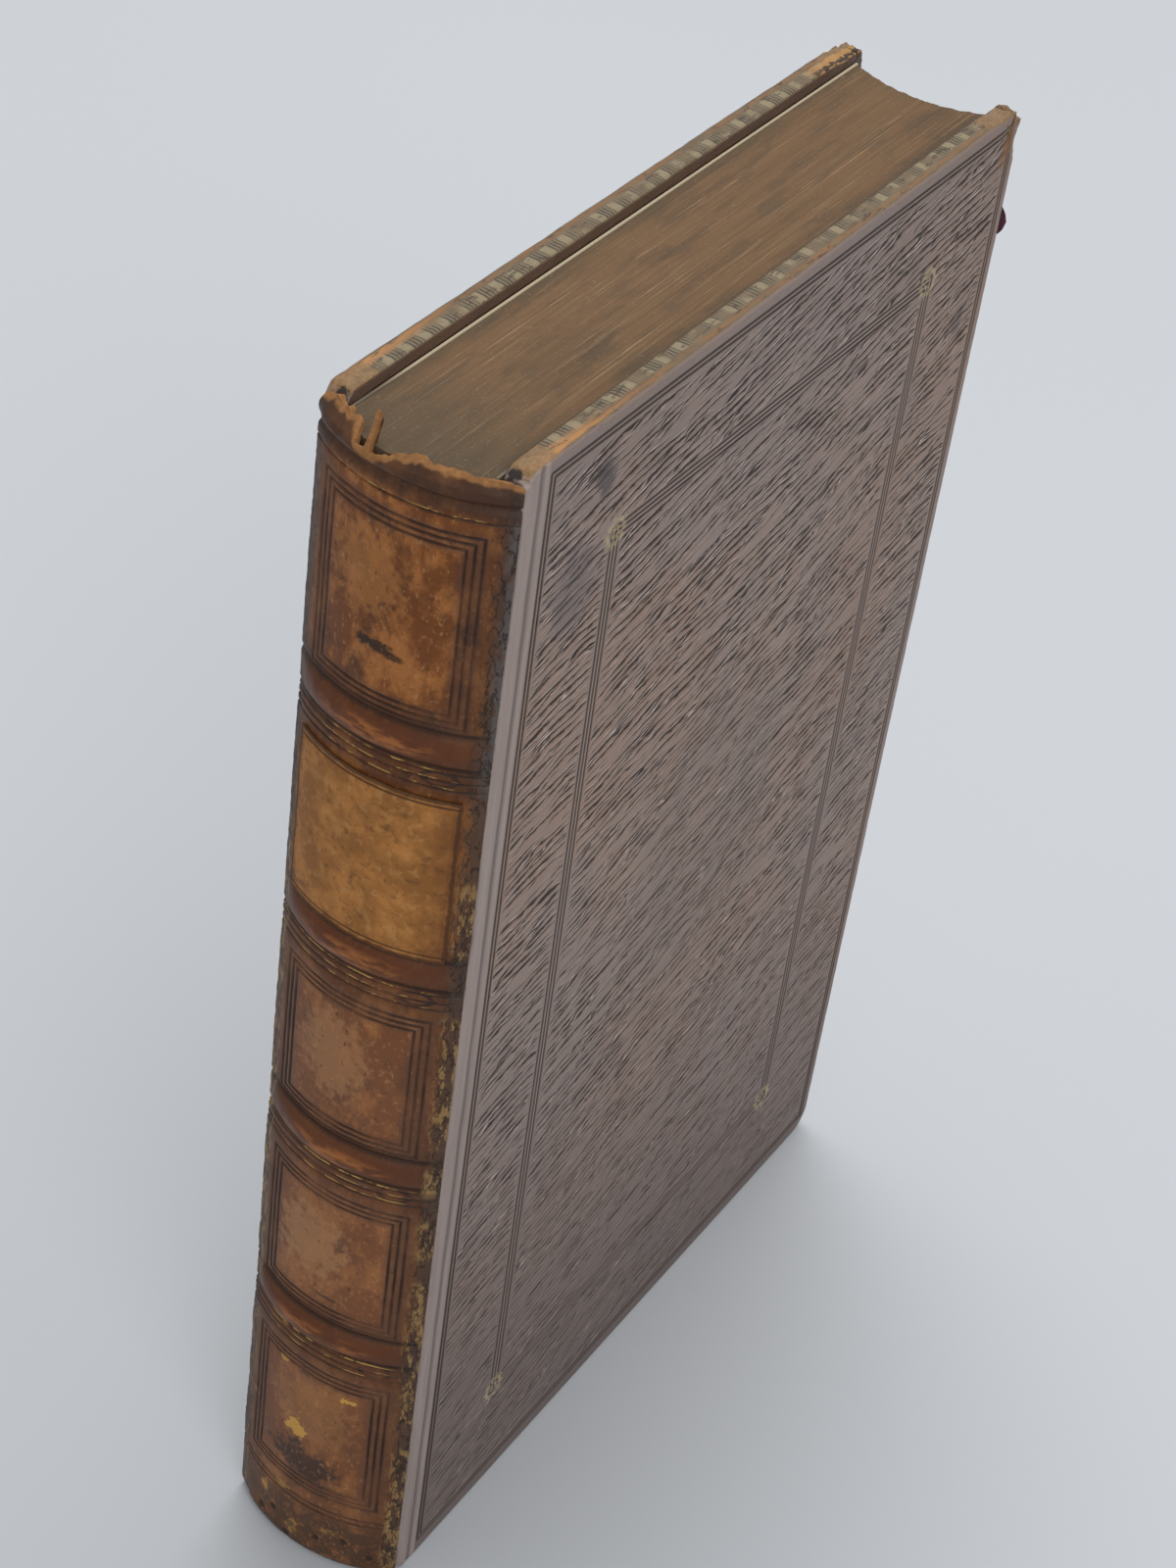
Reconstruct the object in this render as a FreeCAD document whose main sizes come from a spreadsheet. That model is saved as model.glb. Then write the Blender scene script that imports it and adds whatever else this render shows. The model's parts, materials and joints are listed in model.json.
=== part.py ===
import FreeCAD, Part
import os

import Sketcher

# An octavo book of about 1810 in a rebacked leather binding, standing on its tail.
# The front cover faces -Y, the spine -X and the head +Z. The origin is the bottom centre of the
# whole object. Inside each body x runs from the joint to the fore edge, y from the front cover's
# outer face to the rear cover's, and z from the tail to the head.

SIZES = [
    ("book_height", 225.0, "covers, tail to head"),
    ("book_thickness", 33.0, "over both covers"),
    ("cover_width", 140.1, "one cover, joint to fore edge"),
    ("cover_thickness", 4.2, "board with its leather"),
    ("joint_gap", 0.3, "open line between spine and cover"),
    ("board_gap", 0.3, "between a closed cover and the pages"),
    ("cover_leather", 0.9, "leather over the boards"),
    ("turn_in_width", 8.0, "leather folded in on the inner face"),
    ("turn_in_leather", 0.4, "pared thickness of the turn-in"),
    ("board_fit", 0.1, "between leather and what it wraps"),
    ("head_corner_wear", 1.5, "rounding at head and fore edge"),
    ("tail_corner_wear", 5.0, "rounding at tail and fore edge"),
    ("back_corner_cut", 2.2, "slanted cut beside the headcap"),
    ("cover_edge_bevel", 0.7, "worn outer edge of a cover"),
    ("square_height", 2.0, "covers past the pages at head and tail"),
    ("square_width", 3.4, "covers past the pages at the fore edge"),
    ("fore_edge_hollow", 3.0, "depth of the hollow fore edge"),
    ("flyleaf_thickness", 0.4, "free endpaper, each side"),
    ("flyleaf_inset", 0.3, "flyleaf short of the pages"),
    ("spine_bulge", 5.5, "spine past the joints"),
    ("spine_thickness", 0.9, "leather over the back"),
    ("glue_line", 0.1, "between the back and its leather"),
    ("spine_rise", 1.6, "spine leather past the pages at head and tail"),
    ("band_height", 1.5, "raised band over the panels"),
    ("band_width", 5.0, "raised band at its foot"),
    ("crest_width", 1.8, "raised band at its crest"),
    ("band_inset", 1.2, "end of a band from the joint"),
    ("first_band", 56.2, "height of the lowest band"),
    ("band_pitch", 41.1, "from band to band"),
    ("cord_thickness", 1.6, "sewing cord"),
    ("cord_cover", 0.8, "leather over a cord"),
    ("cord_play", 0.1, "cord in its channel"),
    ("cord_angle", 38.0, "degrees each side of the middle"),
    ("label_height", 29.8, "title label along the spine"),
    ("label_thickness", 0.3, "title label"),
    ("label_angle", 29.3, "degrees each side of the middle"),
    ("label_gap", 0.4, "label above the foot of its band"),
    ("ribbon_width", 6.0, "silk marker"),
    ("ribbon_thickness", 0.3, "silk marker"),
    ("ribbon_play", 0.1, "ribbon in its place between the leaves"),
    ("ribbon_depth", 6.0, "middle of the ribbon behind the front face"),
    ("ribbon_drop", 20.2, "upper edge of the ribbon below the head"),
    ("ribbon_hold", 12.0, "length kept between the leaves"),
    ("ribbon_curl", 8.0, "radius of the curled end"),
    ("ribbon_angle", 45.0, "degrees of the curled end"),
    ("ribbon_end", 3.0, "flat end past the curl"),
    ("ribbon_slant", 2.5, "slant of the cut end"),
    ("sliver_width", 1.3, "torn strip standing at the head"),
    ("sliver_thickness", 0.6, "torn strip standing at the head"),
    ("sliver_height", 4.4, "torn strip over the pages"),
    ("sliver_shift", 0.8, "tip of the torn strip to the rear of its foot"),
    ("sliver_place", 21.4, "torn strip behind the front face"),
    ("tool_depth", 0.25, "blind lines pressed in the leather"),
    ("line_width", 0.4, "one line of a fillet"),
    ("line_pitch", 0.9, "from line to line"),
    ("spine_line_gap", 1.0, "first blind line from the foot of a band"),
    ("border_spine_side", 6.5, "outer border from the joint"),
    ("border_edge_side", 2.4, "outer border from the other edges"),
    ("panel_spine_side", 25.1, "inner frame from the joint"),
    ("panel_fore_side", 23.2, "inner frame from the fore edge"),
    ("panel_head", 20.8, "inner frame from the head"),
    ("panel_tail", 24.1, "inner frame from the tail"),
    ("rosette_radius", 2.5, "ring at each corner of the frame"),
]

SHEET = "Sizes"
FRONT = "front"
REAR = "rear"
BAND_COUNT = 4
LABEL_BAND = 2
BORDER_LINES = 2
PANEL_LINES = 3
SPINE_LINES = 2
SMALLEST_CUT = 0.01
SAME_PLACE = 1e-4
CORD_SIDES = 6

# Degrees from the edge's direction at which the flats of a folded spine end meet
CAP_CORNERS = (22.5, 67.5)

# Thicknesses of the torn strip by which its foot reaches into the leather
SLIVER_LAP = 1.2

# Degrees each side of the middle that carry a shape on the back past both joints
PAST_JOINTS = "60"

# The torn edge from the front joint to the rear: shares of the thickness and of the spine's rise
TORN_HEAD = [
    (0.0, 0.95),
    (0.1, 0.55),
    (0.15, 0.9),
    (0.36, 0.75),
    (0.5, 0.95),
    (0.56, 0.45),
    (0.62, 0.7),
    (0.73, 0.9),
    (0.81, 0.5),
    (0.88, 0.8),
    (1.0, 0.8),
]

# Sizes that follow from the driving ones
HALF_THICKNESS = "(Sizes.book_thickness / 2)"
FORE_EDGE = "(Sizes.joint_gap + Sizes.cover_width)"
COVER_INSIDE = "(Sizes.cover_thickness + Sizes.board_gap)"
PAGES_FRONT = f"({COVER_INSIDE} + Sizes.flyleaf_thickness)"
PAGES_EDGE = f"({FORE_EDGE} - Sizes.square_width)"
PAGES_TOP = "(Sizes.book_height - Sizes.square_height)"
SPINE_RADIUS = f"(({HALF_THICKNESS} ^ 2 + Sizes.spine_bulge ^ 2) / (2 * Sizes.spine_bulge))"
SPINE_CENTRE = f"({SPINE_RADIUS} - Sizes.spine_bulge)"
SPINE_INSIDE = f"({SPINE_RADIUS} - Sizes.spine_thickness)"
BACK_RADIUS = f"({SPINE_INSIDE} - Sizes.glue_line)"
BACK_BULGE = f"({BACK_RADIUS} - {SPINE_CENTRE})"
SHOULDER = f"({HALF_THICKNESS} - sqrt({BACK_RADIUS} ^ 2 - {SPINE_CENTRE} ^ 2))"
BAND_HALF = f"({HALF_THICKNESS} - Sizes.band_inset)"
BAND_CREST = "(Sizes.spine_bulge + Sizes.band_height)"
BAND_SAG = f"({BAND_CREST} - sqrt({SPINE_RADIUS} ^ 2 - {BAND_HALF} ^ 2) + {SPINE_CENTRE})"
BAND_RADIUS = f"(({BAND_HALF} ^ 2 + {BAND_SAG} ^ 2) / (2 * {BAND_SAG}))"
BAND_CENTRE = f"({BAND_RADIUS} - {BAND_CREST})"
LABEL_FOOT = (
    f"(Sizes.first_band + {LABEL_BAND} * Sizes.band_pitch"
    " + Sizes.band_width / 2 + Sizes.label_gap)"
)
RIBBON_FOOT = "(Sizes.book_height - Sizes.ribbon_drop - Sizes.ribbon_width)"
RIBBON_BEND = f"({FORE_EDGE} + Sizes.joint_gap)"
RIBBON_TURN = "(Sizes.ribbon_angle * 1 deg)"
RIBBON_TIP = (
    f"({RIBBON_BEND} + (Sizes.ribbon_curl + Sizes.ribbon_thickness / 2) * sin({RIBBON_TURN})"
    f" + Sizes.ribbon_end * cos({RIBBON_TURN}))"
)
MIDDLE = f"(({RIBBON_TIP} - {BAND_CREST}) / 2)"


def add_sheet(doc):
    sheet = doc.addObject("Spreadsheet::Sheet", SHEET)
    for row, (name, value, note) in enumerate(SIZES, start=1):
        sheet.set(f"A{row}", name)
        sheet.set(f"B{row}", str(value))
        sheet.set(f"C{row}", note)
        sheet.setAlias(f"B{row}", name)
    doc.recompute()
    return sheet


def new_body(doc, label):
    body = doc.addObject("PartDesign::Body", label)
    body.Label = label
    body.setExpression("Placement.Base.x", f"-{MIDDLE}")
    body.setExpression("Placement.Base.y", f"-{HALF_THICKNESS}")
    return body


def new_sketch(body, name, role, along="0", right="0"):
    """A sketch on one of the body's planes, moved along the plane's normal and to its right."""
    plane = next(item for item in body.Origin.OriginFeatures if item.Role == role)
    sketch = body.newObject("Sketcher::SketchObject", name)
    sketch.AttachmentSupport = (plane, [""])
    sketch.MapMode = "FlatFace"
    sketch.setExpression("AttachmentOffset.Base.z", along)
    sketch.setExpression("AttachmentOffset.Base.x", right)
    return sketch


def spine_sketch(body, name, centre=SPINE_CENTRE):
    """A sketch in the middle of the thickness, with its upright axis at the centre of an arc."""
    return new_sketch(body, name, "XZ_Plane", f"-{HALF_THICKNESS}", centre)


def pin(sketch, geometry, point, place):
    for kind, formula in zip(("DistanceX", "DistanceY"), place):
        value = float(sketch.evalExpression(formula))
        index = sketch.addConstraint(Sketcher.Constraint(kind, -1, 1, geometry, point, value))
        sketch.setExpression(f"Constraints[{index}]", formula)


def vector(sketch, place):
    return FreeCAD.Vector(*(float(sketch.evalExpression(formula)) for formula in place), 0)


def draw_outline(sketch, corners, arcs=None):
    """Draws a closed outline; arcs gives, for the number of a side, a place that its arc passes."""
    arcs = arcs or {}
    sides = []
    for number, start in enumerate(corners):
        first = vector(sketch, start)
        last = vector(sketch, corners[(number + 1) % len(corners)])
        if number not in arcs:
            sides.append((sketch.addGeometry(Part.LineSegment(first, last)), 1, 2))
            continue
        middle = vector(sketch, arcs[number])
        leftward = (middle - first).cross(last - first).z > 0
        ends = (first, last) if leftward else (last, first)
        arc = sketch.addGeometry(Part.Arc(ends[0], middle, ends[1]))
        sides.append((arc, 1, 2) if leftward else (arc, 2, 1))
    for number, (side, start, end) in enumerate(sides):
        following, next_start, _ = sides[(number + 1) % len(sides)]
        sketch.addConstraint(Sketcher.Constraint("Coincident", side, end, following, next_start))
    for (side, start, _), corner in zip(sides, corners):
        pin(sketch, side, start, corner)
    for number, place in arcs.items():
        mark = sketch.addGeometry(Part.Point(vector(sketch, place)), True)
        sketch.addConstraint(Sketcher.Constraint("PointOnObject", mark, 1, sides[number][0]))
        pin(sketch, mark, 1, place)


def draw_box(sketch, left, bottom, right, top):
    draw_outline(sketch, [(left, bottom), (right, bottom), (right, top), (left, top)])


def draw_circle(sketch, centre, radius):
    size = float(sketch.evalExpression(radius))
    circle = sketch.addGeometry(Part.Circle(vector(sketch, centre), FreeCAD.Vector(0, 0, 1), size))
    pin(sketch, circle, 3, centre)
    index = sketch.addConstraint(Sketcher.Constraint("Radius", circle, size))
    sketch.setExpression(f"Constraints[{index}]", radius)


def draw_even_polygon(sketch, centre, radius, sides):
    """A regular polygon with a flat at its top, for a round section that is only seen small."""
    corners = []
    for number in range(sides):
        angle = f"({360 * (number + 0.5) / sides} * 1 deg)"
        corners.append(
            (f"{centre[0]} + {radius} * cos({angle})", f"{centre[1]} + {radius} * sin({angle})")
        )
    draw_outline(sketch, corners)


def pad(body, sketch, length, turned=False):
    feature = body.newObject("PartDesign::Pad", f"{sketch.Name}_pad")
    feature.Profile = sketch
    feature.setExpression("Length", length)
    feature.Reversed = turned
    body.Document.recompute()
    return feature


def cut(body, sketch, length=None, turned=False):
    """Cuts a sketch into the body, right through where no length is given."""
    before = body.Shape.Volume
    feature = body.newObject("PartDesign::Pocket", f"{sketch.Name}_cut")
    feature.Profile = sketch
    if length is None:
        feature.Type = "ThroughAll"
    else:
        feature.setExpression("Length", length)
    feature.Reversed = turned
    body.Document.recompute()
    check_cut(body, feature, before)
    return feature


def turn(body, sketch, half_angle, kind="Revolution"):
    """Turns a sketch about its own upright axis, the same angle each side of its plane."""
    before = body.Shape.Volume if kind == "Groove" else None
    feature = body.newObject(f"PartDesign::{kind}", f"{sketch.Name}_{kind.lower()}")
    feature.Profile = sketch
    feature.ReferenceAxis = (sketch, ["V_Axis"])
    feature.Midplane = True
    feature.setExpression("Angle", f"2 * {half_angle}")
    body.Document.recompute()
    if before is not None:
        check_cut(body, feature, before)
    return feature


def check_cut(body, feature, before):
    if abs(body.Shape.Volume - before) < SMALLEST_CUT:
        raise RuntimeError(f"{feature.Name} cuts nothing from {body.Label}")


def repeat_bands(body, features):
    """Repeats what one band needs at each of the bands above it."""
    copies = body.newObject("PartDesign::LinearPattern", f"{features[0].Name}_bands")
    copies.Originals = features
    copies.Direction = (features[0].Profile[0], ["V_Axis"])
    copies.setExpression("Length", f"{BAND_COUNT - 1} * Sizes.band_pitch")
    copies.Occurrences = BAND_COUNT
    body.Tip = copies
    body.Document.recompute()
    return copies


def depth(side, amount):
    """How far behind the front face a depth measured inwards from a cover's outer face lies."""
    return f"({amount})" if side == FRONT else f"(Sizes.book_thickness - ({amount}))"


def cover_sketch(body, name, side, amount="0"):
    return new_sketch(body, name, "XZ_Plane", f"-{depth(side, amount)}")


def draw_cover(sketch, inset):
    """A cover's outline: slanted at the two corners by the joint, worn round at the other two."""
    slant = f"(Sizes.back_corner_cut + ({inset}) * (sqrt(2) - 1))"
    near = f"(Sizes.joint_gap + {inset})"
    far = f"({FORE_EDGE} - ({inset}))"
    tail = f"({inset})"
    head = f"(Sizes.book_height - ({inset}))"
    worn = {"tail": "Sizes.tail_corner_wear", "head": "Sizes.head_corner_wear"}
    bow = {name: f"(({size} - ({inset})) * sqrt(2) / 2)" for name, size in worn.items()}
    corners = [
        (f"(Sizes.joint_gap + {slant})", tail),
        (f"({FORE_EDGE} - {worn['tail']})", tail),
        (far, worn["tail"]),
        (far, f"(Sizes.book_height - {worn['head']})"),
        (f"({FORE_EDGE} - {worn['head']})", head),
        (f"(Sizes.joint_gap + {slant})", head),
        (near, f"(Sizes.book_height - {slant})"),
        (near, slant),
    ]
    arcs = {
        1: (f"{FORE_EDGE} - {worn['tail']} + {bow['tail']}", f"{worn['tail']} - {bow['tail']}"),
        3: (
            f"{FORE_EDGE} - {worn['head']} + {bow['head']}",
            f"Sizes.book_height - {worn['head']} + {bow['head']}",
        ),
    }
    draw_outline(sketch, corners, arcs)


def wear_outer_edges(body, solid, side):
    """Bevels every edge of a cover that lies in its outer face."""
    outer = float(solid.evalExpression(depth(side, "0")))
    names = [
        f"Edge{number}"
        for number, edge in enumerate(solid.Shape.Edges, start=1)
        if max(abs(place - outer) for place in (edge.BoundBox.YMin, edge.BoundBox.YMax)) < SAME_PLACE
    ]
    bevel = body.newObject("PartDesign::Chamfer", "outer_edge_bevel")
    bevel.Base = (solid, names)
    bevel.setExpression("Size", "Sizes.cover_edge_bevel")
    body.Document.recompute()
    return bevel


def draw_fillet_lines(sketch, count, left, tail, right, head):
    """Nested frames of pressed lines, each line an outer and an inner rectangle."""
    for number in range(count):
        for edge in (-0.5, 0.5):
            shift = f"({number} * Sizes.line_pitch + {edge} * Sizes.line_width)"
            draw_box(
                sketch,
                f"{left} + {shift}",
                f"{tail} + {shift}",
                f"{FORE_EDGE} - {right} - {shift}",
                f"Sizes.book_height - {head} - {shift}",
            )


def press_cover_tooling(body, side):
    """Blind lines along the edges, a frame of lines inside them and a ring at its corners."""
    frames = cover_sketch(body, "tooled_frames", side)
    edge = "Sizes.border_edge_side"
    draw_fillet_lines(frames, BORDER_LINES, "Sizes.border_spine_side", edge, edge, edge)
    draw_fillet_lines(
        frames, PANEL_LINES, "Sizes.panel_spine_side", "Sizes.panel_tail", "Sizes.panel_fore_side",
        "Sizes.panel_head",
    )
    cut(body, frames, "Sizes.tool_depth", turned=side == REAR)
    middle = f"({(PANEL_LINES - 1) / 2} * Sizes.line_pitch)"
    rings = cover_sketch(body, "corner_rings", side)
    for across in (
        f"(Sizes.panel_spine_side + {middle})",
        f"({FORE_EDGE} - Sizes.panel_fore_side - {middle})",
    ):
        for up in (
            f"(Sizes.panel_tail + {middle})",
            f"(Sizes.book_height - Sizes.panel_head - {middle})",
        ):
            draw_circle(rings, (across, up), "Sizes.rosette_radius")
            draw_circle(rings, (across, up), "(Sizes.rosette_radius - Sizes.line_width)")
            draw_circle(rings, (across, up), "Sizes.line_width")
    cut(body, rings, "Sizes.tool_depth", turned=side == REAR)


def make_cover_leather(doc, side):
    """Leather over the outer face and all edges of a board, turned in at head, tail and fore edge."""
    body = new_body(doc, f"{side}_cover_leather")
    outline = cover_sketch(body, "outline", side)
    draw_cover(outline, "0")
    slab = pad(body, outline, "Sizes.cover_thickness", turned=side == FRONT)
    wear_outer_edges(body, slab, side)
    board_room = cover_sketch(body, "board_room", side, "Sizes.cover_leather")
    draw_cover(board_room, "Sizes.cover_leather")
    room = "Sizes.cover_thickness - Sizes.cover_leather - Sizes.turn_in_leather"
    cut(body, board_room, room, turned=side == REAR)
    window = cover_sketch(body, "window", side, "Sizes.cover_thickness - Sizes.turn_in_leather")
    draw_box(
        window,
        "Sizes.joint_gap + Sizes.cover_leather",
        "Sizes.turn_in_width",
        f"{FORE_EDGE} - Sizes.turn_in_width",
        "Sizes.book_height - Sizes.turn_in_width",
    )
    cut(body, window, "Sizes.turn_in_leather", turned=side == REAR)
    press_cover_tooling(body, side)
    return body


def make_board(doc, side):
    """The pasteboard inside a cover."""
    body = new_body(doc, f"{side}_board")
    inset = "Sizes.cover_leather + Sizes.board_fit"
    outline = cover_sketch(body, "outline", side, inset)
    draw_cover(outline, inset)
    thickness = f"Sizes.cover_thickness - Sizes.turn_in_leather - 2 * Sizes.board_fit - Sizes.cover_leather"
    pad(body, outline, thickness, turned=side == FRONT)
    return body


def make_pastedown(doc, side):
    """The paper on the board's inner face, inside the turned-in leather."""
    body = new_body(doc, f"{side}_pastedown")
    start = "Sizes.cover_thickness - Sizes.turn_in_leather"
    outline = cover_sketch(body, "outline", side, start)
    fit = "Sizes.board_fit"
    draw_box(
        outline,
        f"Sizes.joint_gap + Sizes.cover_leather + {fit}",
        f"Sizes.turn_in_width + {fit}",
        f"{FORE_EDGE} - Sizes.turn_in_width - {fit}",
        f"Sizes.book_height - Sizes.turn_in_width - {fit}",
    )
    pad(body, outline, "Sizes.turn_in_leather", turned=side == FRONT)
    return body


def make_flyleaf(doc, side):
    """The free endpaper, flat against the pages."""
    body = new_body(doc, f"{side}_flyleaf")
    outline = cover_sketch(body, "outline", side, COVER_INSIDE)
    draw_box(
        outline,
        "Sizes.flyleaf_inset",
        "Sizes.square_height",
        f"{PAGES_EDGE} - Sizes.flyleaf_inset",
        PAGES_TOP,
    )
    pad(body, outline, "Sizes.flyleaf_thickness", turned=side == FRONT)
    return body


def cord_channel(body, name, play):
    """The section of a sewing cord, under the crest of the lowest band."""
    section = spine_sketch(body, name, BAND_CENTRE)
    middle = f"({BAND_RADIUS} - Sizes.cord_cover - Sizes.cord_thickness / 2)"
    radius = f"(Sizes.cord_thickness / 2 + {play})"
    draw_even_polygon(section, (f"-{middle}", "Sizes.first_band"), radius, CORD_SIDES)
    return section


def make_text_block(doc):
    """The sewn pages: rounded back with a shoulder under each board, and a hollow fore edge."""
    body = new_body(doc, "text_block")
    section = new_sketch(body, "section", "XY_Plane", "Sizes.square_height")
    far = [f"(Sizes.book_thickness - {place})" for place in (PAGES_FRONT, SHOULDER)]
    corners = [
        ("0", PAGES_FRONT),
        (PAGES_EDGE, PAGES_FRONT),
        (PAGES_EDGE, far[0]),
        ("0", far[0]),
        ("0", far[1]),
        ("0", SHOULDER),
    ]
    arcs = {
        1: (f"{PAGES_EDGE} - Sizes.fore_edge_hollow", HALF_THICKNESS),
        4: (f"-{BACK_BULGE}", HALF_THICKNESS),
    }
    draw_outline(section, corners, arcs)
    pad(body, section, f"{PAGES_TOP} - Sizes.square_height")
    channel = turn(body, cord_channel(body, "cord_channel", "Sizes.cord_play"), PAST_JOINTS, "Groove")
    repeat_bands(body, [channel])
    place = new_sketch(body, "ribbon_place", "XY_Plane", f"{RIBBON_FOOT} - Sizes.ribbon_play")
    half = "(Sizes.ribbon_thickness / 2 + Sizes.ribbon_play)"
    draw_box(
        place,
        f"{PAGES_EDGE} - Sizes.ribbon_hold - Sizes.ribbon_play",
        f"Sizes.ribbon_depth - {half}",
        FORE_EDGE,
        f"Sizes.ribbon_depth + {half}",
    )
    cut(body, place, "Sizes.ribbon_width + 2 * Sizes.ribbon_play", turned=True)
    return body


def make_sewing_cord(doc, number):
    """One cord that the pages are sewn on, across the back from shoulder to shoulder."""
    body = new_body(doc, f"sewing_cord_{number}")
    section = cord_channel(body, "section", "0")
    section.setExpression("AttachmentOffset.Base.y", f"{number - 1} * Sizes.band_pitch")
    turn(body, section, "Sizes.cord_angle")
    return body


def cap_profile(edge, outward):
    """From inside to outside round one end of the spine leather, which folds in over the pages."""
    inner = f"(Sizes.spine_thickness - {SPINE_RADIUS})"
    lip = f"(Sizes.spine_rise - {SPINE_RADIUS})"
    inner_rise = "(Sizes.spine_rise - Sizes.spine_thickness)"
    return [
        (inner, edge),
        (lip, f"{edge} {outward} {inner_rise}"),
        (lip, f"{edge} {outward} Sizes.spine_rise"),
        *[
            (
                f"{lip} - Sizes.spine_rise * sin({angle} * 1 deg)",
                f"{edge} {outward} Sizes.spine_rise * cos({angle} * 1 deg)",
            )
            for angle in CAP_CORNERS
        ],
        (f"-{SPINE_RADIUS}", edge),
    ]


def band_profile():
    """The lowest raised band: a slope, a shoulder and a crest, let into the leather at its foot."""
    crest = f"-{BAND_RADIUS}"
    shoulder = f"(Sizes.band_height / 3 - {BAND_RADIUS})"
    foot = f"(Sizes.band_height + Sizes.spine_thickness / 3 - {BAND_RADIUS})"
    halves = [
        (foot, "Sizes.band_width / 2"),
        (shoulder, "(Sizes.band_width + Sizes.crest_width) / 4"),
        (crest, "Sizes.crest_width / 2"),
    ]
    upper = [(across, f"Sizes.first_band + {half}") for across, half in halves]
    lower = [(across, f"Sizes.first_band - {half}") for across, half in halves[::-1]]
    return upper + lower


def press_spine_lines(body):
    """Blind lines across the back, above and below each band."""
    lines = spine_sketch(body, "band_lines")
    for number in range(SPINE_LINES):
        away = f"(Sizes.band_width / 2 + Sizes.spine_line_gap + {number} * Sizes.line_pitch)"
        for sign in ("-", "+"):
            middle = f"(Sizes.first_band {sign} {away})"
            draw_box(
                lines,
                f"-{SPINE_RADIUS} - Sizes.tool_depth",
                f"{middle} - Sizes.line_width / 2",
                f"-{SPINE_RADIUS} + Sizes.tool_depth",
                f"{middle} + Sizes.line_width / 2",
            )
    repeat_bands(body, [turn(body, lines, PAST_JOINTS, "Groove")])


def make_spine_leather(doc):
    """The leather over the back: four raised bands, caps at both ends and a torn head."""
    body = new_body(doc, "spine_leather")
    section = spine_sketch(body, "section")
    draw_outline(section, cap_profile("Sizes.square_height", "-") + cap_profile(PAGES_TOP, "+")[::-1])
    turn(body, section, PAST_JOINTS)
    band = spine_sketch(body, "band", BAND_CENTRE)
    draw_outline(band, band_profile())
    repeat_bands(body, [turn(body, band, PAST_JOINTS)])
    hollow = spine_sketch(body, "hollow")
    draw_box(hollow, f"-{SPINE_INSIDE}", "Sizes.square_height", f"-{SPINE_CENTRE}", PAGES_TOP)
    turn(body, hollow, PAST_JOINTS, "Groove")
    channel = turn(body, cord_channel(body, "cord_channel", "Sizes.cord_play"), PAST_JOINTS, "Groove")
    repeat_bands(body, [channel])
    press_spine_lines(body)
    joints = new_sketch(body, "joints", "XY_Plane")
    draw_box(joints, "0", "-Sizes.book_thickness", "Sizes.book_thickness", "2 * Sizes.book_thickness")
    cut(body, joints, turned=True)
    tear = new_sketch(body, "tear", "YZ_Plane", f"-2 * {BAND_CREST}")
    ragged = [
        (f"{place} * Sizes.book_thickness", f"{PAGES_TOP} + {rise} * Sizes.spine_rise")
        for place, rise in TORN_HEAD
    ]
    above = f"{PAGES_TOP} + 2 * Sizes.spine_rise"
    draw_outline(tear, ragged + [(ragged[-1][0], above), (ragged[0][0], above)])
    cut(body, tear, turned=True)
    add_sliver(body)
    return body


def add_sliver(body):
    """A strip of the torn leather that stands up from the headcap."""
    across = f"(Sizes.sliver_place - {HALF_THICKNESS})"
    lip = f"({SPINE_CENTRE} - sqrt(({SPINE_RADIUS} - Sizes.spine_rise) ^ 2 - {across} ^ 2))"
    outline = new_sketch(body, "sliver", "YZ_Plane", f"{lip} - {SLIVER_LAP} * Sizes.sliver_thickness")
    half = "Sizes.sliver_width / 2"
    foot = f"{PAGES_TOP} + Sizes.spine_rise / 2"
    tip = f"{PAGES_TOP} + Sizes.sliver_height"
    corners = [
        (f"Sizes.sliver_place - {half}", foot),
        (f"Sizes.sliver_place + {half}", foot),
        (f"Sizes.sliver_place + {half} + Sizes.sliver_shift", tip),
        (f"Sizes.sliver_place - {half} + Sizes.sliver_shift", tip),
    ]
    draw_outline(outline, corners)
    pad(body, outline, "Sizes.sliver_thickness")


def make_title_label(doc):
    """The thin leather label on the panel over the second band from the head, left bare."""
    body = new_body(doc, "title_label")
    section = spine_sketch(body, "section")
    under = f"({SPINE_RADIUS} + Sizes.glue_line)"
    draw_box(
        section, f"-{under} - Sizes.label_thickness", LABEL_FOOT, f"-{under}",
        f"{LABEL_FOOT} + Sizes.label_height",
    )
    turn(body, section, "Sizes.label_angle")
    return body


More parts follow.
